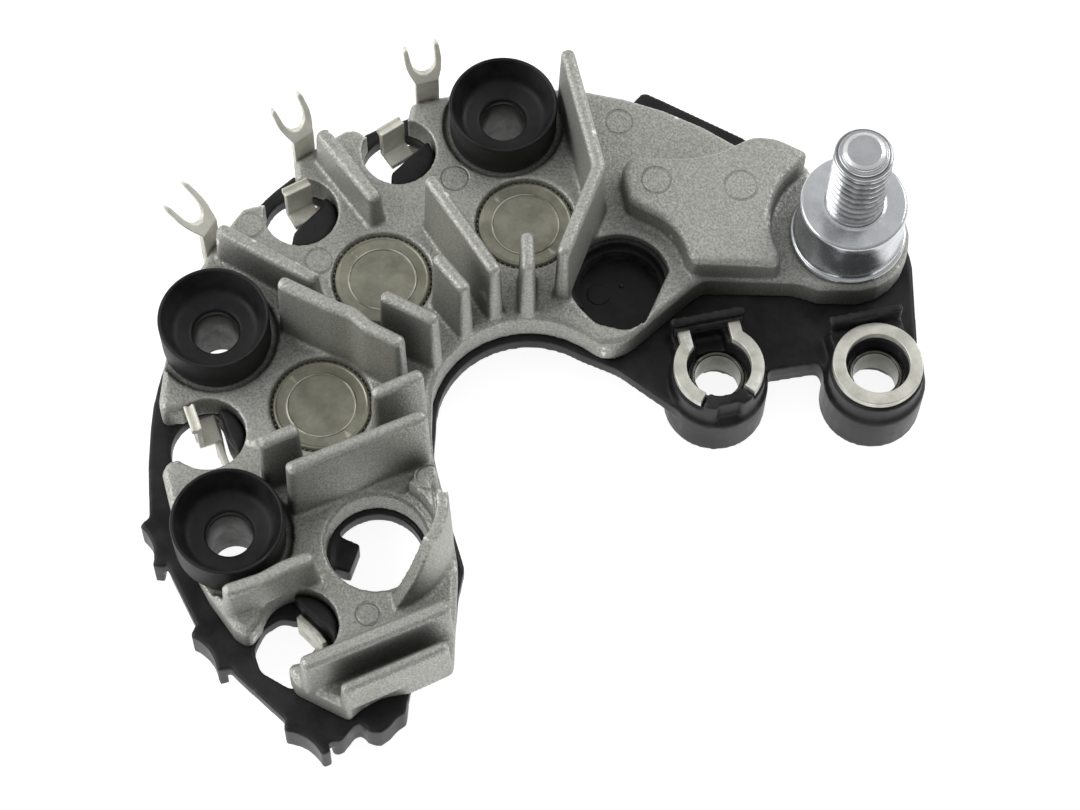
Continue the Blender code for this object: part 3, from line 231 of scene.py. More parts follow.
def feed(tree, made, inputs):
    """Links a node's inputs to the sockets among the values, and sets the rest."""
    for key, value in inputs.items():
        if isinstance(value, bpy.types.NodeSocket):
            tree.links.new(value, made.inputs[key])
        else:
            made.inputs[key].default_value = value


def add_node(tree, kind, inputs=None, **values):
    """A node with its settings, its input values and the sockets that feed it."""
    made = tree.nodes.new(kind)
    for key, value in values.items():
        setattr(made, key, value)
    feed(tree, made, inputs or {})
    return made


def maths(tree, operation, first, second=0.0, third=0.0):
    return add_node(tree, "ShaderNodeMath", {0: first, 1: second, 2: third}, operation=operation).outputs[0]


def vector_maths(tree, operation, first, second=(0.0, 0.0, 0.0)):
    return add_node(tree, "ShaderNodeVectorMath", {0: first, 1: second}, operation=operation)


def mixed(tree, share, first, second, blend="MIX"):
    """The mix of two colours."""
    inputs = {0: share, 6: first, 7: second}
    return add_node(tree, "ShaderNodeMix", inputs, data_type="RGBA", blend_type=blend).outputs[2]


def tinted(tree, mask, strength, colour, tint):
    """A colour with a tint laid over it where the mask shows."""
    return mixed(tree, maths(tree, "MULTIPLY", mask, strength), colour, tint)


def ranged(tree, value, low, high, to_low=0.0, to_high=1.0):
    return add_node(tree, "ShaderNodeMapRange", {
        "Value": value, "From Min": low, "From Max": high, "To Min": to_low, "To Max": to_high,
    }, clamp=True).outputs[0]


def shader_group(name, inputs, outputs):
    """An empty shader group and the nodes that hold its inputs and its outputs."""
    tree = bpy.data.node_groups.new(name, "ShaderNodeTree")
    for label, kind, value in inputs:
        socket = tree.interface.new_socket(name=label, in_out="INPUT", socket_type=kind)
        socket.default_value = value
    for label, kind in outputs:
        tree.interface.new_socket(name=label, in_out="OUTPUT", socket_type=kind)
    return tree, tree.nodes.new("NodeGroupInput"), tree.nodes.new("NodeGroupOutput")


def use_group(tree, name, inputs):
    """A shader group placed in a tree, and built when it is first used."""
    makers = {"grain": grain_group, "edge_light_and_shade": edge_light_and_shade_group, "mark": mark_group}
    if name not in GROUPS:
        GROUPS[name] = makers[name]()
    return add_node(tree, "ShaderNodeGroup", inputs, node_tree=GROUPS[name])


def object_coordinates(tree):
    return add_node(tree, "ShaderNodeTexCoord").outputs["Object"]


def reach_from(tree, centre):
    """The distance from an upright axis through a centre, and the height above that centre."""
    offset = vector_maths(tree, "SUBTRACT", object_coordinates(tree), centre).outputs[0]
    flat = vector_maths(tree, "MULTIPLY", offset, (1.0, 1.0, 0.0)).outputs[0]
    height = add_node(tree, "ShaderNodeSeparateXYZ", {0: offset}).outputs[2]
    return vector_maths(tree, "LENGTH", flat).outputs["Value"], height


def grain_group():
    """Blasted or moulded grain: a height for the bump and a mottle for the colour."""
    tree, given, result = shader_group(
        "Surface Grain",
        [("Size", "NodeSocketFloat", 0.3 * MM), ("Patch Size", "NodeSocketFloat", 6 * MM)],
        [("Height", "NodeSocketFloat"), ("Mottle", "NodeSocketFloat"), ("Patches", "NodeSocketFloat")],
    )
    place = object_coordinates(tree)
    fine_scale = maths(tree, "DIVIDE", 1.0, given.outputs["Size"])
    fine = add_node(tree, "ShaderNodeTexNoise", {
        "Vector": place, "Scale": fine_scale, "Detail": 3.0, "Roughness": 0.6,
    })
    pits = add_node(tree, "ShaderNodeTexVoronoi", {
        "Vector": place, "Scale": maths(tree, "MULTIPLY", fine_scale, 0.8),
    })
    height = maths(tree, "MULTIPLY_ADD", pits.outputs["Distance"], 0.6, fine.outputs["Fac"])
    patch_scale = maths(tree, "DIVIDE", 1.0, given.outputs["Patch Size"])
    patches = add_node(tree, "ShaderNodeTexNoise", {
        "Vector": place, "Scale": patch_scale, "Detail": 4.0, "Roughness": 0.65,
    })
    tree.links.new(height, result.inputs["Height"])
    tree.links.new(ranged(tree, fine.outputs["Fac"], 0.36, 0.64), result.inputs["Mottle"])
    tree.links.new(ranged(tree, patches.outputs["Fac"], 0.35, 0.65), result.inputs["Patches"])
    return tree


def edge_light_and_shade_group():
    """Painted highlights on edges, broken up by noise, and painted shade in corners, from the surface's
    pointiness.
    """
    tree, given, result = shader_group(
        "Painted Edge Light and Shade",
        [("Pointiness", "NodeSocketFloat", 0.5), ("Spread", "NodeSocketFloat", 0.06)],
        [("Edges", "NodeSocketFloat"), ("Hollows", "NodeSocketFloat")],
    )
    above = maths(tree, "SUBTRACT", given.outputs["Pointiness"], 0.5)
    edge = maths(tree, "DIVIDE", above, given.outputs["Spread"])
    hollow = maths(tree, "MULTIPLY", edge, -1.0)
    patches_in_a_metre = 900.0
    rough = add_node(tree, "ShaderNodeTexNoise", {
        "Vector": object_coordinates(tree), "Scale": patches_in_a_metre, "Detail": 3.0,
    })
    broken = maths(tree, "MULTIPLY", edge, ranged(tree, rough.outputs["Fac"], 0.3, 0.6))
    tree.links.new(ranged(tree, broken, 0.3, 1.0), result.inputs["Edges"])
    tree.links.new(ranged(tree, hollow, 0.1, 1.0), result.inputs["Hollows"])
    return tree


def mark_group():
    """A fine round groove in a flat face, such as an ejector pin leaves."""
    tree, given, result = shader_group(
        "Round Groove",
        [("Centre", "NodeSocketVector", (0, 0, 0)), ("Radius", "NodeSocketFloat", 1.8 * MM)],
        [("Height", "NodeSocketFloat")],
    )
    deep_within, flat_beyond, level_within = 0.06 * MM, 0.20 * MM, 0.35 * MM
    reach, height = reach_from(tree, given.outputs["Centre"])
    gap = maths(tree, "ABSOLUTE", maths(tree, "SUBTRACT", reach, given.outputs["Radius"]))
    groove = ranged(tree, gap, deep_within, flat_beyond, -1.0, 0.0)
    level = maths(tree, "LESS_THAN", maths(tree, "ABSOLUTE", height), level_within)
    tree.links.new(maths(tree, "MULTIPLY", groove, level), result.inputs["Height"])
    return tree


def all_marks(tree, places):
    """The grooves of every centre and radius, added up."""
    total = 0.0
    for centre, radius in places:
        mark = use_group(tree, "mark", {"Centre": centre, "Radius": radius}).outputs[0]
        total = maths(tree, "ADD", total, mark)
    return total


# Materials

def new_material(name):
    made = bpy.data.materials.new(name)
    made.use_nodes = True
    tree = made.node_tree
    return made, tree, tree.nodes["Principled BSDF"]


def wire(tree, shader, **sockets):
    """Feeds the shader's sockets, named in small letters with underscores."""
    names = {label: label.replace("_", " ").title().replace("Ior", "IOR") for label in sockets}
    feed(tree, shader, {names[label]: value for label, value in sockets.items()})


def bump(tree, height, strength, distance, normal=None):
    made = add_node(tree, "ShaderNodeBump", {"Height": height, "Strength": strength, "Distance": distance})
    if normal:
        tree.links.new(normal, made.inputs["Normal"])
    return made.outputs[0]


def shade(colour, factor):
    return (*(min(1.0, channel * factor) for channel in colour), 1.0)


def grained(tree, size, patch_size, spread):
    """The grain of a surface, and the pointiness masks for painted highlights on its edges and painted shade
    in its hollows.
    """
    grain = use_group(tree, "grain", {"Size": size, "Patch Size": patch_size})
    pointiness = add_node(tree, "ShaderNodeNewGeometry").outputs["Pointiness"]
    edge_light_and_shade = use_group(tree, "edge_light_and_shade", {"Pointiness": pointiness, "Spread": spread})
    return grain.outputs, edge_light_and_shade.outputs


def cast_aluminium(settings):
    """Blasted aluminium: dark specks, painted highlights on the edges, painted shade in the hollows and
    where surfaces come near each other, and the ejector marks with painted shade in their grooves.
    """
    made, tree, shader = new_material("cast_aluminium")
    base = settings.colour
    grain, edge_light_and_shade = grained(tree, settings.grain_size, 9 * MM, 0.09)
    colour = mixed(tree, grain["Patches"], shade(base, 0.95), shade(base, 1.03))
    colour = mixed(tree, grain["Mottle"], shade(base, 0.64), colour)
    # Painted highlights on the edges and painted shade in the hollows
    colour = tinted(tree, edge_light_and_shade["Edges"], 0.8, colour, shade(base, 1.8))
    colour = tinted(tree, edge_light_and_shade["Hollows"], 0.45, colour, shade(base, 0.4))
    marks = all_marks(tree, (
        (AXIS + Vector((x * MM, y * MM, PLATE_TOP + rise * MM)), settings.mark_radius * size)
        for x, y, rise, size in EJECTOR_MARKS
    ))
    # Painted shade darkens the ejector marks' grooves; the bump below gives their shape
    colour = tinted(tree, marks, -0.35, colour, shade(base, 0.35))
    # Painted shade: darker where other surfaces come near, in corners and between the fins, and slightly
    # lighter in the open
    painted_corner_shade = add_node(tree, "ShaderNodeAmbientOcclusion", {"Distance": 7 * MM}, samples=4)
    colour = mixed(tree, 1.0, colour, ranged(tree, painted_corner_shade.outputs["AO"], 0.2, 0.85, 0.5, 1.04), "MULTIPLY")
    dull, bright = settings.roughness + 0.12, settings.roughness - 0.06
    rough = ranged(tree, grain["Mottle"], 0.0, 1.0, dull, bright)
    pressed = bump(tree, marks, 0.9, 0.12 * MM)
    normal = bump(tree, grain["Height"], 0.75, 0.08 * MM, pressed)
    wire(tree, shader, base_color=colour, metallic=0.75, roughness=rough, normal=normal)
    return made


def black_plastic(settings, name="black_plastic", gloss=0.0):
    """Moulded black plastic with soft patches and painted highlights on its pale edges."""
    made, tree, shader = new_material(name)
    base = settings.colour
    grain, edge_light_and_shade = grained(tree, 0.5 * MM, 7 * MM, 0.08)
    colour = mixed(tree, grain["Patches"], shade(base, 0.65), shade(base, 1.9))
    # Painted highlights on the edges
    colour = tinted(tree, edge_light_and_shade["Edges"], 0.5, colour, shade(base, 5.0))
    roughness = settings.roughness - gloss
    rough = ranged(tree, grain["Patches"], 0.0, 1.0, roughness - 0.06, roughness + 0.10)
    normal = bump(tree, grain["Height"], 0.25, 0.03 * MM)
    wire(tree, shader, base_color=colour, roughness=rough, normal=normal, specular_ior_level=0.22)
    return made


def painted_thread_shade_and_highlight(tree, colour, pitch):
    """Painted shade in the roots along the thread, and a painted highlight in a bright ring round the step
    of the stud's tip.
    """
    tip = corners("output_stud")[1].z
    thread_end, step_foot = tip - 0.9 * MM, tip - 0.45 * MM
    root_radius, flank_radius = STUD_RADIUS - 0.36 * pitch, STUD_RADIUS - 0.08 * pitch
    reach, height = reach_from(tree, middle("stud_collar"))
    root = ranged(tree, reach, root_radius, flank_radius, 0.94, 0.0)
    on_thread = maths(tree, "LESS_THAN", height, thread_end)
    # Painted shade in the thread's roots
    colour = tinted(tree, root, on_thread, colour, (0.06, 0.06, 0.06, 1.0))
    gap = maths(tree, "ABSOLUTE", maths(tree, "SUBTRACT", reach, TIP_STEP_RADIUS))
    ring = ranged(tree, gap, 0.2 * MM, 0.3 * MM, 1.0, 0.0)
    # Painted highlight: a white ring round the tip's step
    return tinted(tree, ring, maths(tree, "GREATER_THAN", height, step_foot), colour, WHITE)


def painted_bead_highlights(tree, colour):
    """A painted highlight on the bead round each diode's face, broken up by noise."""
    nodes = [f"diode_cup_{index}" for index in (1, 2, 3)]
    rings = all_marks(tree, (
        (middle(node) + Vector((0.0, 0.0, corners(node)[1].z)), BEAD_RADIUS) for node in nodes
    ))
    patches_in_a_metre = 260.0
    rough = add_node(tree, "ShaderNodeTexNoise", {
        "Vector": object_coordinates(tree), "Scale": patches_in_a_metre,
    })
    broken_highlight = ranged(tree, rough.outputs["Fac"], 0.42, 0.58, 0.0, -0.7)
    # Painted highlight on the bead
    return tinted(tree, rings, broken_highlight, colour, (0.95, 0.93, 0.85, 1.0))


def plated(
    name, colour, roughness, metallic=1.0, grain_size=0.6 * MM, streak=0.25, depth=0.02 * MM, pitch=None,
    specular=0.5, rings=False,
):
    """A plated metal with a soft mottle, painted highlights on its edges and painted shade in its hollows.
    """
    made, tree, shader = new_material(name)
    grain, edge_light_and_shade = grained(tree, grain_size, 3 * MM, 0.1)
    mottle = mixed(tree, grain["Patches"], shade(colour, 1.0 - streak), shade(colour, 1.08))
    # Painted shade in the hollows and painted highlights on the edges
    mottle = tinted(tree, edge_light_and_shade["Hollows"], 0.5, mottle, shade(colour, 0.35))
    mottle = tinted(tree, edge_light_and_shade["Edges"], 0.6, mottle, shade(colour, 2.2))
    # Painted shade in the thread's roots and a painted highlight round the tip's step
    if pitch:
        mottle = painted_thread_shade_and_highlight(tree, mottle, pitch)
    # Painted highlights on the diodes' beads
    if rings:
        mottle = painted_bead_highlights(tree, mottle)
    rough = ranged(tree, grain["Patches"], 0.0, 1.0, roughness + 0.12, roughness - 0.04)
    normal = bump(tree, grain["Height"], 0.3, depth)
    wire(
        tree, shader, base_color=mottle, metallic=metallic, roughness=rough, normal=normal,
        specular_ior_level=specular,
    )
    return made


FINISHES = {}


def finish(name):
    """The finish of this name, built when it is first used."""
    if name in FINISHES:
        return FINISHES[name]
    scene = bpy.context.scene
    plastic = scene.rectifier_plastic
    plating = scene.rectifier_plating
    makers = {
        "cast_aluminium": lambda: cast_aluminium(scene.rectifier_cast),
        "black_plastic": lambda: black_plastic(plastic),
        "bushing_plastic": lambda: black_plastic(plastic, name, gloss=-0.08),
        "resin_seal": lambda: black_plastic(plastic, name),
        "tin_plate": lambda: plated(name, plating.tin, 0.42, metallic=0.65),
        # A lighter, less metallic copy of the tin for the phase conductors' clips and forks: painted light
        "lightened_tin_clip": lambda: plated(
            name, shade(plating.tin, 1.15)[:3], 0.5, metallic=0.45, grain_size=0.3 * MM, streak=0.15,
        ),
        "zinc_steel": lambda: plated(
            name, plating.zinc, 0.20, metallic=0.85, grain_size=0.35 * MM, streak=0.12,
        ),
        "zinc_thread": lambda: plated(
            name, shade(plating.zinc, 0.85)[:3], 0.20, metallic=0.95, grain_size=0.35 * MM, streak=0.12,
            pitch=plating.thread_pitch,
        ),
        "nickel_plate": lambda: plated(
            name, plating.nickel, 0.42, metallic=0.9, grain_size=0.22 * MM, streak=0.22, depth=0.05 * MM,
            rings=True,
        ),
        "sleeve_steel": lambda: plated(name, plating.olive, 0.20),
        # A darker, less glossy copy of the sleeve steel for the sleeves deep inside the cups: painted shade
        "shaded_sleeve_steel": lambda: plated(
            name, shade(plating.olive, 0.42)[:3], 0.35, metallic=0.1, specular=0.12,
        ),
    }
    FINISHES[name] = makers[name]()
    return FINISHES[name]


# Shapes

def settle(piece, node, slot, material=None):
    """A finished piece stands for its node, rides on the frame and takes its finish."""
    piece.data.materials.clear()
    piece.data.materials.append(finish(material or slot))
    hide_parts(node)
    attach(piece, "root")
    return piece


def linked(name, mesh):
    piece = bpy.data.objects.new(name, mesh)
    bpy.context.scene.collection.objects.link(piece)
    return piece


def placed(name, shape):
    """An object from a finished shape, whose working mesh is then freed."""
    mesh = bpy.data.meshes.new(name)
    shape.to_mesh(mesh)
    shape.free()
    return linked(name, mesh)


def smoothed(piece, sharp):
    """A piece shaded smooth, apart from its edges sharper than this many degrees."""
    piece.data.shade_smooth()
    piece.data.set_sharp_from_angle(angle=math.radians(sharp))
    return piece


def evaluated(piece):
    """A piece with its modifiers made part of its mesh."""
    graph = bpy.context.evaluated_depsgraph_get()
    mesh = bpy.data.meshes.new_from_object(piece.evaluated_get(graph))
    piece.modifiers.clear()
    piece.data = mesh
    return piece


def softened(node, name, voxel, passes, keep):
    """A node's shape with its edges rounded and its corners filled, as casting and stamping leave them."""
    shape = bmesh.new()
    shape.from_mesh(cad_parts[node].data)
    bmesh.ops.remove_doubles(shape, verts=shape.verts, dist=TOUCHING)
    piece = placed(name, shape)
    cells = piece.modifiers.new("cells", "REMESH")
    cells.mode = "VOXEL"
    cells.voxel_size = voxel
    relaxed = piece.modifiers.new("relaxed", "SMOOTH")
    relaxed.factor = 0.5
    relaxed.iterations = passes
    thinned = piece.modifiers.new("thinned", "DECIMATE")
    thinned.ratio = keep
    evaluated(piece)
    piece.data.shade_smooth()
    return piece


def arc(centre, radius, start, end, steps=24):
    """Points along an arc, with its radius in millimetres and its angles in degrees."""
    turns = [math.radians(start + (end - start) * i / steps) for i in range(steps + 1)]
    return [centre + Vector((math.cos(turn), math.sin(turn), 0.0)) * radius * MM for turn in turns]


def from_boss(centre, side, out):
    """The point this many millimetres along a terminal boss's ridge, and out towards it."""
    along = Vector((math.cos(math.radians(PAD_TURN)), math.sin(math.radians(PAD_TURN)), 0.0))
    return centre + (along * side + Vector((-along.y, along.x, 0.0)) * out) * MM


def plate_shape(name, outline, bottom, top, edge):
    """A flat piece from its outline, with its upper edges rounded."""
    shape = bmesh.new()
    face = shape.faces.new([shape.verts.new((point.x, point.y, bottom)) for point in outline])
    grown = bmesh.ops.extrude_face_region(shape, geom=[face])["geom"]
    raised = [item for item in grown if isinstance(item, bmesh.types.BMVert)]
    bmesh.ops.translate(shape, vec=(0, 0, top - bottom), verts=raised)
    rim = [item for item in shape.edges if all(vert.co.z > top - TOUCHING for vert in item.verts)]
    bmesh.ops.bevel(
        shape, geom=rim, offset=edge, segments=3, profile=0.5, affect="EDGES", clamp_overlap=True,
    )
    bmesh.ops.recalc_face_normals(shape, faces=shape.faces)
    return smoothed(placed(name, shape), sharp=35)


def ring_sector(name, centre, profile, start, end, steps=48):
    """A profile of (radius, height), swept from one angle to another, with closed ends."""
    shape = bmesh.new()
    sections = []
    for i in range(steps + 1):
        turn = math.radians(start + (end - start) * i / steps)
        way = Vector((math.cos(turn), math.sin(turn)))
        sections.append([
            shape.verts.new((centre.x + way.x * radius * MM, centre.y + way.y * radius * MM, height * MM))
            for radius, height in profile
        ])
    shape.faces.new(sections[0])
    shape.faces.new(sections[-1])
    for here, there in zip(sections, sections[1:]):
        for i in range(len(profile)):
            j = (i + 1) % len(profile)
            shape.faces.new((here[i], here[j], there[j], there[i]))
    bmesh.ops.recalc_face_normals(shape, faces=shape.faces)
    return smoothed(placed(name, shape), sharp=30)


def rounded(profile, steps=4):
    """The points of a closed profile of (radius, height, rounding), with a short curve at each rounding."""
    points = []
    for i, (x, y, rounding) in enumerate(profile):
        here = Vector((x, y))
        before = Vector(profile[i - 1][:2]) - here
        after = Vector(profile[(i + 1) % len(profile)][:2]) - here
        if rounding <= 0:
            points.append(here)
            continue
        reach = min(rounding, 0.45 * before.length, 0.45 * after.length)
        first = here + before.normalized() * reach
        last = here + after.normalized() * reach
        for share in [step / steps for step in range(steps + 1)]:
            rest = 1 - share
            points.append(first * rest ** 2 + here * 2 * share * rest + last * share ** 2)
    return points


def turned(name, profile, centre, sides=96):
    """A body turned about an upright axis from a profile of (radius, height, rounding)."""
    points = rounded(profile)
    shape = bmesh.new()
    verts = [shape.verts.new((centre.x + point.x * MM, centre.y, point.y * MM)) for point in points]
    on_axis = points[0].x == 0.0
    pairs = list(zip(verts, verts[1:]))
    if not on_axis:
        pairs.append((verts[-1], verts[0]))
    edges = [shape.edges.new(pair) for pair in pairs]
    bmesh.ops.spin(
        shape, geom=verts + edges, cent=(centre.x, centre.y, 0.0), axis=(0, 0, 1),
        angle=math.tau, steps=sides, use_duplicate=False,
    )
    bmesh.ops.remove_doubles(shape, verts=shape.verts, dist=TOUCHING)
    bmesh.ops.recalc_face_normals(shape, faces=shape.faces)
    if shape.calc_volume(signed=True) < 0:
        bmesh.ops.reverse_faces(shape, faces=shape.faces)
    return smoothed(placed(name, shape), sharp=50)


def joined(name, pieces):
    """One mesh of several."""
    shape = bmesh.new()
    for piece in pieces:
        shape.from_mesh(piece.data)
        mesh = piece.data
        bpy.data.objects.remove(piece)
        bpy.data.meshes.remove(mesh)
    return placed(name, shape)


# Geometry node trees

def geometry_tree(name, inputs):
    """An empty geometry tree and the nodes that hold its inputs and its output."""
    tree = bpy.data.node_groups.new(name, "GeometryNodeTree")
    tree.interface.new_socket(name="Geometry", in_out="INPUT", socket_type="NodeSocketGeometry")
    for label, kind in inputs:
        tree.interface.new_socket(name=label, in_out="INPUT", socket_type=kind)
    tree.interface.new_socket(name="Geometry", in_out="OUTPUT", socket_type="NodeSocketGeometry")
    return tree, tree.nodes.new("NodeGroupInput"), tree.nodes.new("NodeGroupOutput")


def finish_tree(tree, geometry, material, result):
    """Realised instances in their material, and shaded smooth."""
    real = add_node(tree, "GeometryNodeRealizeInstances", {"Geometry": geometry})
    smooth = add_node(tree, "GeometryNodeSetShadeSmooth", {"Geometry": real.outputs[0]})
    coated = add_node(tree, "GeometryNodeSetMaterial", {"Geometry": smooth.outputs[0], "Material": material})
    tree.links.new(coated.outputs[0], result.inputs["Geometry"])


def run_tree(name, tree, values):
    """The plain mesh that a tree makes from the given named values."""
    piece = linked(name, bpy.data.meshes.new(name))
    modifier = piece.modifiers.new(tree.name, "NODES")
    modifier.node_group = tree
    for item in tree.interface.items_tree:
        if item.in_out == "INPUT" and item.name in values:
            modifier[item.identifier] = values[item.name]
    return evaluated(piece)


def thread_tree():
    """A helix of thread, swept with a blunt triangle."""
    tree, given, result = geometry_tree("Thread Turns", [
        ("Radius", "NodeSocketFloat"), ("Pitch", "NodeSocketFloat"), ("Turns", "NodeSocketFloat"),
        ("Centre", "NodeSocketVector"), ("Material", "NodeSocketMaterial"),
    ])
    length = maths(tree, "MULTIPLY", given.outputs["Pitch"], given.outputs["Turns"])
    helix = add_node(tree, "GeometryNodeCurveSpiral", {
        "Resolution": 48, "Rotations": given.outputs["Turns"], "Start Radius": given.outputs["Radius"],
        "End Radius": given.outputs["Radius"], "Height": length,
    })
    upright = add_node(tree, "GeometryNodeSetCurveNormal", {"Curve": helix.outputs[0]}, mode="Z_UP")
    root_share, crest_share = 0.92, 0.16
    root_width = maths(tree, "MULTIPLY", given.outputs["Pitch"], root_share)
    crest_width = maths(tree, "MULTIPLY", given.outputs["Pitch"], crest_share)
    depth = maths(tree, "MULTIPLY", given.outputs["Pitch"], THREAD_DEPTH)
    section = add_node(tree, "GeometryNodeCurvePrimitiveQuadrilateral", {
        "Bottom Width": root_width, "Top Width": crest_width, "Height": depth, "Offset": 0.0,
    }, mode="TRAPEZOID")
    turned_section = add_node(tree, "GeometryNodeTransform", {
        "Geometry": section.outputs[0], "Rotation": (0.0, 0.0, math.radians(90)),
    })
    swept = add_node(tree, "GeometryNodeCurveToMesh", {
        "Curve": upright.outputs[0], "Profile Curve": turned_section.outputs[0], "Fill Caps": True,
    })
    moved = add_node(tree, "GeometryNodeTransform", {
        "Geometry": swept.outputs[0], "Translation": given.outputs["Centre"],
    })
    finish_tree(tree, moved.outputs[0], given.outputs["Material"], result)
    return tree


def knurl_tree():
    """Short upright ridges set round a diode's rim."""
    tree, given, result = geometry_tree("Rim Knurl", [
        ("Radius", "NodeSocketFloat"), ("Count", "NodeSocketInt"), ("Height", "NodeSocketFloat"),
        ("Top", "NodeSocketFloat"), ("Foot", "NodeSocketFloat"), ("Centre", "NodeSocketVector"),
        ("Material", "NodeSocketMaterial"),
    ])
    circle = add_node(tree, "GeometryNodeCurvePrimitiveCircle", {
        "Resolution": given.outputs["Count"], "Radius": given.outputs["Radius"],
    })
    points = add_node(tree, "GeometryNodeCurveToPoints", {
        "Curve": circle.outputs[0], "Count": given.outputs["Count"],
    })
    ridge = add_node(tree, "GeometryNodeMeshCone", {
        "Vertices": 6, "Radius Top": given.outputs["Top"], "Radius Bottom": given.outputs["Foot"],
        "Depth": given.outputs["Height"],
    })
    rows = add_node(tree, "GeometryNodeInstanceOnPoints", {
        "Points": points.outputs[0], "Instance": ridge.outputs[0],
    })
    moved = add_node(tree, "GeometryNodeTransform", {
        "Geometry": rows.outputs[0], "Translation": given.outputs["Centre"],
    })
    finish_tree(tree, moved.outputs[0], given.outputs["Material"], result)
    return tree


# Pieces

class RECTIFIER_OT_heat_sink(bpy.types.Operator):
    """Round the edges of the cast heat sink and give it its blasted skin"""
    bl_idname = "rectifier.heat_sink"
    bl_label = "Heat Sink"

    def execute(self, context):
        cast = context.scene.rectifier_cast
        piece = softened("heat_sink", "cast_heat_sink", cast.voxel, passes=2, keep=0.41)
        settle(piece, "heat_sink", "cast_aluminium")
        return {"FINISHED"}


class RECTIFIER_OT_carrier(bpy.types.Operator):
    """Round the edges of the moulded terminal carrier and step the wall of its well"""
    bl_idname = "rectifier.carrier"
    bl_label = "Terminal Carrier"

    def execute(self, context):
        plastic = context.scene.rectifier_plastic
        body = softened("terminal_carrier", "body", plastic.voxel, passes=2, keep=0.5)
        piece = joined("moulded_carrier", [body, *self.well(), self.step()])
        settle(piece, "terminal_carrier", "black_plastic")
        return {"FINISHED"}

    def well(self):
        """The lining of the round well in two steps, and the disc and the pip on its floor."""
        centre = AXIS + WELL_FROM_AXIS
        plate = PLATE_TOP / MM
        floor = (PLATE_TOP - PLATE_THICKNESS) / MM - 0.3
        wall, upper, lower = 6.78, 6.25, 5.65
        rim, ledge = plate - 1.3, plate - 2.7
        chamfer = 0.1
        root = floor - 0.6
        lining = ring_sector("lining", centre, [
            (wall, root), (wall, rim), (upper + chamfer, rim), (upper, rim - chamfer), (upper, ledge),
            (lower + chamfer, ledge), (lower, ledge - chamfer), (lower, root),
        ], *LINING_ENDS)
        disc = self.button("disc", centre, (-2.7, 0.2), floor, 0.15, (1.55, 1.7), 48)
        pip = self.button("pip", centre, (0.4, 1.7), floor, 0.3, (0.35, 0.45), 16)
        return lining, disc, pip

    def button(self, name, centre, place, floor, rise, radii, sides):
        """A low round button with sloping sides, sunk into the well's floor."""
        top, sunk = floor + rise, floor - 0.3
        profile = [(0.0, top, 0.0), (radii[0], top, 0.1), (radii[1], sunk, 0.0), (0.0, sunk, 0.0)]
        return turned(name, profile, centre + Vector((*place, 0.0)) * MM, sides)

    def step(self):
        """The small step in front of the open terminal's ridge."""
        boss = AXIS + REGULATOR_FROM_AXIS
        side, near, far = 4.7, 5.95, 6.4
        corner_points = ((-side, near), (side, near), (side, far), (-side, far))
        outline = [from_boss(boss, along, out) for along, out in corner_points]
        foot = corners("regulator_terminal")[0].z - 0.2 * MM
        return plate_shape("step", outline, foot, PLATE_TOP + 0.1 * MM, 0.12 * MM)


class RECTIFIER_OT_bushings(bpy.types.Operator):
    """Turn the insulating cups and the steel sleeves inside them"""
    bl_idname = "rectifier.bushings"
    bl_label = "Bushings and Sleeves"

    def execute(self, context):
        for index in (1, 2, 3):
            self.cup(f"bushing_{index}")
            self.sleeve(f"mounting_sleeve_{index}")
        return {"FINISHED"}

    def cup(self, node):
        """The tube, the ledge that the sleeve stands under, the bowl and the thin rim."""
        low, high = corners(node)
        radius = (high.x - low.x) / 2 / MM
        bottom, rim = heights(node)
        plate = PLATE_TOP / MM
        floor = plate + 1.4
        bore, ledge, tube, bowl = 4.25, 3.12, 5.0, 5.8
        profile = [
            (bore, bottom, 0.0), (bore, plate, 0.0), (ledge, plate, 0.1), (ledge, floor - 0.2, 0.5),
            (bowl, floor + 0.2, 0.9), (radius - 0.5, rim - 0.15, 0.2), (radius - 0.3, rim, 0.12),
            (radius - 0.12, rim, 0.1), (radius, rim - 0.2, 0.15), (radius - 0.1, plate - 0.6, 0.1),
            (tube, plate - 0.6, 0.0), (tube, bottom, 0.0),
        ]
        piece = turned(node.replace("bushing", "insulating_cup"), profile, middle(node))
        settle(piece, node, "black_plastic", "bushing_plastic")

    def sleeve(self, node):
        """A sleeve that tapers at its foot."""
        bottom, top = heights(node)
        bore, radius, tip_radius = 3.1, 3.95, 3.35
        profile = [
            (bore, bottom + 0.1, 0.0), (bore, top, 0.15), (radius, top, 0.15), (radius, bottom + 0.9, 0.15),
            (tip_radius, bottom, 0.1), (bore + 0.1, bottom, 0.0),
        ]
        piece = turned(node.replace("mounting", "fixing"), profile, middle(node), 72)
        # The sleeve takes the darker copy of the sleeve steel, painted shade for its place deep in the cup
        settle(piece, node, "sleeve_steel", "shaded_sleeve_steel")


class RECTIFIER_OT_boss_sleeves(bpy.types.Operator):
    """Turn the sleeves of the two terminal bosses"""
    bl_idname = "rectifier.boss_sleeves"
    bl_label = "Boss Sleeves"

    def execute(self, context):
        for index in (1, 2):
            node = f"boss_sleeve_{index}"
            bottom, top = heights(node)
            bore, radius = 3.1, 3.7
            profile = [
                (bore, bottom + 0.5, 0.1), (bore, top, 0.3), (radius, top, 0.2), (radius, bottom, 0.1),
                (radius - 0.1, bottom, 0.0),
            ]
            piece = turned(f"terminal_sleeve_{index}", profile, middle(node), 72)
            settle(piece, node, "sleeve_steel")
        return {"FINISHED"}


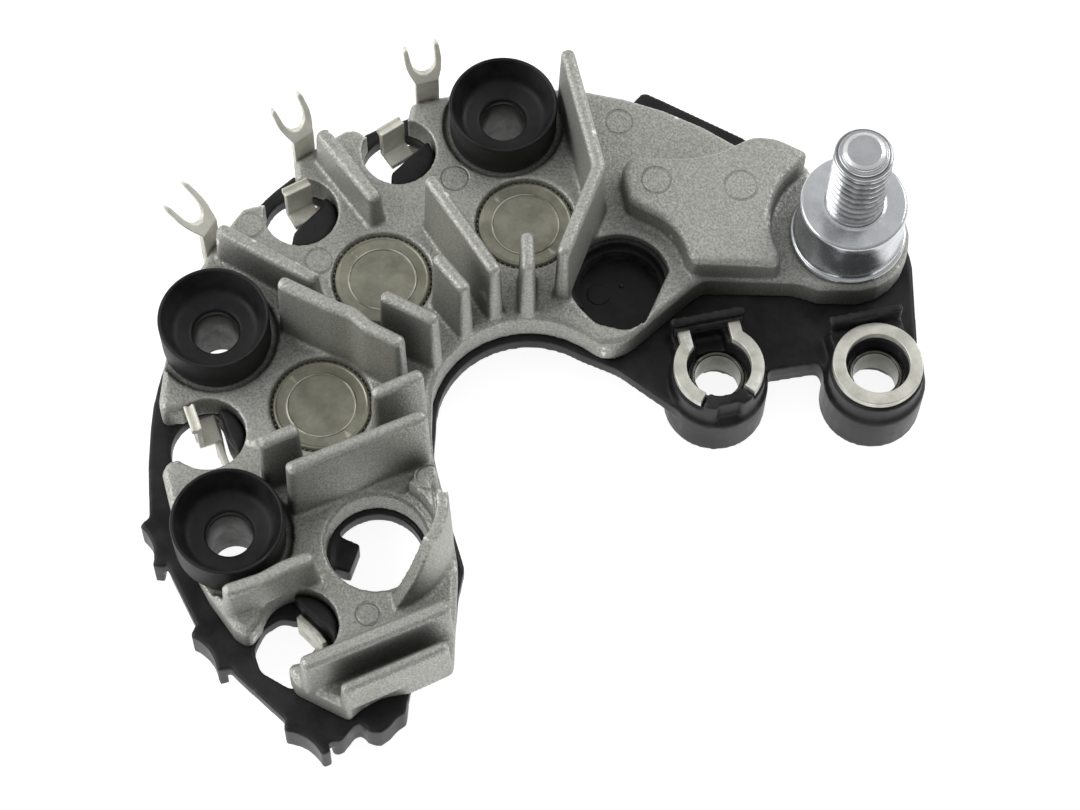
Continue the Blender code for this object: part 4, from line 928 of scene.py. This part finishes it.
class RECTIFIER_OT_diodes(bpy.types.Operator):
    """Turn the diode cups with their stepped faces and knurled rims"""
    bl_idname = "rectifier.diodes"
    bl_label = "Diodes"

    def execute(self, context):
        tree = knurl_tree()
        for index in (1, 2, 3):
            node = f"diode_cup_{index}"
            ridges = self.ridges(node, tree, context.scene.rectifier_plating.knurl_count)
            piece = joined(f"press_fit_diode_{index}", [self.cup(node), ridges])
            settle(smoothed(piece, sharp=50), node, "nickel_plate")
        return {"FINISHED"}

    def cup(self, node):
        """The face with its bead, the groove and the rim round it, and the open wall below."""
        bottom, top = heights(node)
        bead = BEAD_RADIUS / MM
        groove, rim, shoulder, wall, bore = 5.95, 6.1, 6.55, 6.4, 5.2
        return turned("cup", [
            (0.0, top - 0.16, 0.0), (bead - 0.18, top - 0.18, 0.04), (bead - 0.06, top, 0.06),
            (bead + 0.06, top, 0.06), (bead + 0.16, top - 0.14, 0.04), (groove, top - 0.14, 0.1),
            (rim, top - 0.02, 0.1), (rim + 0.25, top - 0.08, 0.1), (shoulder, top - 0.45, 0.1),
            (shoulder, top - 1.0, 0.1), (wall, top - 1.2, 0.1), (wall, bottom, 0.1), (bore, bottom, 0.0),
            (bore, top - 2.2, 0.2), (0.0, top - 2.2, 0.0),
        ], middle(node), 120)

    def ridges(self, node, tree, count):
        """The knurl of one rim, from its tree."""
        below_face = 3.65 * MM
        return run_tree("ridges", tree, {
            "Radius": KNURL_RADIUS, "Count": count, "Height": KNURL_HEIGHT, "Top": 0.10 * MM,
            "Foot": 0.16 * MM, "Centre": middle(node) + Vector((0, 0, corners(node)[1].z - below_face)),
            "Material": finish("nickel_plate"),
        })


class RECTIFIER_OT_stud(bpy.types.Operator):
    """Cut the thread on the output stud and polish its collar"""
    bl_idname = "rectifier.stud"
    bl_label = "Output Stud"

    def execute(self, context):
        self.stud(context.scene.rectifier_plating.thread_pitch)
        self.collar()
        return {"FINISHED"}

    def stud(self, pitch):
        """The shaft with its stepped tip, the hexagon head and the helix of thread round the shaft."""
        centre = middle("stud_collar")
        bottom, tip = heights("output_stud")
        head_top = bottom + 4.0
        thread_from = heights("stud_collar")[1] + 1.0
        thread_to = tip - 1.7
        radius = STUD_RADIUS / MM
        root = radius - THREAD_DEPTH * pitch / MM
        core = turned("core", [
            (0.0, tip, 0.0), (2.25, tip, 0.1), (2.85, tip - 0.28, 0.15), (2.95, tip - 0.6, 0.1),
            (3.35, tip - 0.62, 0.2), (3.45, tip - 0.95, 0.1), (radius - 0.05, tip - 1.1, 0.25),
            (radius - 0.02, tip - 1.45, 0.2), (root, tip - 1.9, 0.1), (root, thread_from, 0.2),
            (radius, thread_from - 0.5, 0.2), (radius, head_top, 0.0), (0.0, head_top, 0.0),
        ], centre)
        corner = 6.5
        head = turned("head", [
            (0.0, bottom, 0.0), (corner - 0.3, bottom, 0.3), (corner, bottom + 0.5, 0.2),
            (corner, head_top, 0.0), (0.0, head_top, 0.0),
        ], centre, 6)
        head.data.shade_flat()
        ridge = run_tree("ridge", thread_tree(), {
            "Radius": STUD_RADIUS - THREAD_DEPTH / 2 * pitch, "Pitch": pitch,
            "Turns": (thread_to - thread_from) * MM / pitch,
            "Centre": centre + Vector((0, 0, thread_from * MM)), "Material": finish("zinc_thread"),
        })
        piece = joined("threaded_stud", [core, head, ridge])
        settle(smoothed(piece, sharp=40), "output_stud", "zinc_steel", "zinc_thread")

    def collar(self):
        """The round collar with its flange, and the raised lip round the stud."""
        foot, top = heights("stud_collar")
        bore, lip, wall, flange = 3.97, 4.35, 7.3, 7.9
        piece = turned("polished_collar", [
            (bore, foot, 0.0), (bore, top + 0.15, 0.1), (lip, top, 0.2), (wall - 0.35, top, 0.25),
            (wall - 0.05, top - 0.3, 0.2), (wall, top - 1.3, 0.2), (wall, foot + 1.2, 0.4),
            (wall + 0.15, foot + 0.75, 0.2), (flange, foot + 0.6, 0.2), (flange, foot, 0.1),
        ], middle("stud_collar"), 128)
        settle(piece, "stud_collar", "zinc_steel")


class RECTIFIER_OT_terminals(bpy.types.Operator):
    """Turn the closed ring terminal and cut the open one from its outline"""
    bl_idname = "rectifier.terminals"
    bl_label = "Terminals"

    def execute(self, context):
        foot, top = heights("ring_terminal")
        bore, outer = 4.3, 6.1
        profile = [(bore, foot, 0.1), (bore, top, 0.2), (outer, top, 0.2), (outer, foot, 0.1)]
        settle(turned("closed_ring", profile, middle("ring_terminal")), "ring_terminal", "tin_plate")
        low, high = corners("regulator_terminal")
        piece = plate_shape("open_ring", self.open_outline(), low.z, high.z, 0.14 * MM)
        settle(piece, "regulator_terminal", "tin_plate")
        return {"FINISHED"}

    def open_outline(self):
        """Both arms of the open ring and the bar that joins them under the ridge."""
        centre = AXIS + REGULATOR_FROM_AXIS
        inner, outer, arm, slot, reach, bar = 4.35, 6.1, 4.3, 2.65, 6.9, 0.45
        start, end = REGULATOR_ENDS
        north = PAD_TURN + 90.0
        outer_turn = math.degrees(math.asin(arm / outer))
        inner_turn = math.degrees(math.asin(slot / inner))
        right = arc(centre, outer, start, north - outer_turn)
        left = arc(centre, outer, north + outer_turn, end)
        inside = arc(centre, inner, end, north + inner_turn)
        inside_right = arc(centre, inner, north - inner_turn, start)
        far = [from_boss(centre, side * arm, reach) for side in (1, -1)]
        near = [from_boss(centre, side * slot, reach - bar) for side in (-1, 1)]
        return right + far + left + inside + near + inside_right


class RECTIFIER_OT_conductors(bpy.types.Operator):
    """Round the stamped edges of the conductors, their clips and their forks"""
    bl_idname = "rectifier.conductors"
    bl_label = "Conductors"

    def execute(self, context):
        cell = 0.13 * MM
        for index in (1, 2, 3):
            node = f"phase_conductor_{index}"
            piece = softened(node, f"stamped_conductor_{index}", cell, passes=2, keep=0.35)
            # The clips and forks take the lighter copy of the tin, painted light
            settle(piece, node, "tin_plate", "lightened_tin_clip")
        piece = softened("neutral_conductor", "stamped_neutral", cell, passes=3, keep=0.4)
        settle(piece, "neutral_conductor", "tin_plate")
        return {"FINISHED"}


class RECTIFIER_OT_hidden_parts(bpy.types.Operator):
    """Finish the diode seals and leads, which keep the frame's shapes"""
    bl_idname = "rectifier.hidden_parts"
    bl_label = "Seals and Leads"

    def execute(self, context):
        for kind, material in (("seal", "resin_seal"), ("lead", "tin_plate")):
            for index in (1, 2, 3):
                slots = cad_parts[f"diode_{kind}_{index}"].data.materials
                slots.clear()
                slots.append(finish(material))
        return {"FINISHED"}


class RECTIFIER_OT_stage(bpy.types.Operator):
    """Set the floor, the soft lamps and the camera at the photograph's angle"""
    bl_idname = "rectifier.stage"
    bl_label = "Stage"

    def execute(self, context):
        stage = context.scene.rectifier_stage
        context.scene.view_settings.view_transform = "Standard"
        self.floor(stage)
        self.sky(context.scene)
        self.lamps()
        self.camera(context.scene, stage)
        return {"FINISHED"}

    def floor(self, stage):
        """A matt floor that the camera, metal and glass see as white, and that keeps the shadow."""
        made, tree, shader = new_material("floor")
        rays = add_node(tree, "ShaderNodeLightPath").outputs
        seen = maths(tree, "MAXIMUM", rays["Is Camera Ray"], rays["Is Glossy Ray"])
        seen = maths(tree, "MAXIMUM", seen, rays["Is Transmission Ray"])
        glow = maths(tree, "MULTIPLY", seen, FLOOR_GLOW)
        wire(
            tree, shader, base_color=(*stage.floor_colour, 1.0), roughness=0.8, emission_color=WHITE,
            emission_strength=glow,
        )
        shape = bmesh.new()
        bmesh.ops.create_grid(shape, x_segments=1, y_segments=1, size=FLOOR_REACH)
        floor = placed("floor", shape)
        floor.data.materials.append(made)

    def sky(self, scene):
        """A studio that is brighter above, behind and on the left."""
        world = bpy.data.worlds.new("studio")
        world.use_nodes = True
        tree = world.node_tree
        towards = add_node(tree, "ShaderNodeSeparateXYZ", {
            0: add_node(tree, "ShaderNodeTexCoord").outputs["Generated"],
        }).outputs
        strength = 1.0
        for side, values in SKY:
            strength = maths(tree, "MULTIPLY", strength, ranged(tree, towards[side], *values))
        feed(tree, tree.nodes["Background"], {"Strength": strength, "Color": WHITE})
        scene.world = world

    def lamps(self):
        aim = AXIS + LAMPS_AIM_AT
        for name, place, size, energy in LAMPS:
            lamp = bpy.data.lights.new(name, "AREA")
            lamp.shape = "DISK"
            lamp.size = size
            lamp.energy = energy
            holder = linked(name, lamp)
            holder.location = aim + Vector(place)
            holder.rotation_euler = (aim - holder.location).to_track_quat("-Z", "Y").to_euler()

    def camera(self, scene, stage):
        data = bpy.data.cameras.new("camera")
        data.sensor_width = SENSOR_WIDTH
        data.lens = stage.lens
        data.clip_start = 10 * MM
        holder = linked("camera", data)
        forward = Vector((0, math.cos(stage.elevation), -math.sin(stage.elevation)))
        level_up = Vector((0, math.sin(stage.elevation), math.cos(stage.elevation)))
        right = math.cos(stage.roll) * Vector((1, 0, 0)) + math.sin(stage.roll) * level_up
        up = -math.sin(stage.roll) * Vector((1, 0, 0)) + math.cos(stage.roll) * level_up
        aim = AXIS + CAMERA_FROM_AXIS + Vector((0.0, 0.0, PLATE_TOP))
        axes = Matrix((right, up, -forward)).transposed()
        holder.matrix_world = Matrix.Translation(aim - forward * stage.distance) @ axes.to_4x4()
        scene.camera = holder


PIECES = (
    RECTIFIER_OT_heat_sink, RECTIFIER_OT_carrier, RECTIFIER_OT_bushings, RECTIFIER_OT_boss_sleeves,
    RECTIFIER_OT_diodes, RECTIFIER_OT_stud, RECTIFIER_OT_terminals, RECTIFIER_OT_conductors,
    RECTIFIER_OT_hidden_parts, RECTIFIER_OT_stage,
)


class RECTIFIER_PT_panel(bpy.types.Panel):
    """Buttons for each piece, with the sizes and colours they use"""
    bl_idname = "RECTIFIER_PT_panel"
    bl_label = "Rectifier"
    bl_space_type = "VIEW_3D"
    bl_region_type = "UI"
    bl_category = "Rectifier"

    def draw(self, context):
        for piece in PIECES:
            self.layout.operator(piece.bl_idname)
        for name, settings in SETTINGS.items():
            box = self.layout.box()
            for key in settings.__annotations__:
                box.prop(getattr(context.scene, name), key)


SETTINGS = {
    "rectifier_cast": CastSettings,
    "rectifier_plastic": PlasticSettings,
    "rectifier_plating": PlatingSettings,
    "rectifier_stage": StageSettings,
}


def register():
    for made in (*SETTINGS.values(), *PIECES, RECTIFIER_PT_panel):
        bpy.utils.register_class(made)
    for name, settings in SETTINGS.items():
        setattr(bpy.types.Scene, name, PointerProperty(type=settings))


def unregister():
    for name in SETTINGS:
        delattr(bpy.types.Scene, name)
    for made in (RECTIFIER_PT_panel, *reversed(PIECES), *SETTINGS.values()):
        bpy.utils.unregister_class(made)


def main():
    register()
    for piece in PIECES:
        area, name = piece.bl_idname.split(".")
        getattr(getattr(bpy.ops, area), name)()


if __name__ == "__main__":
    main()
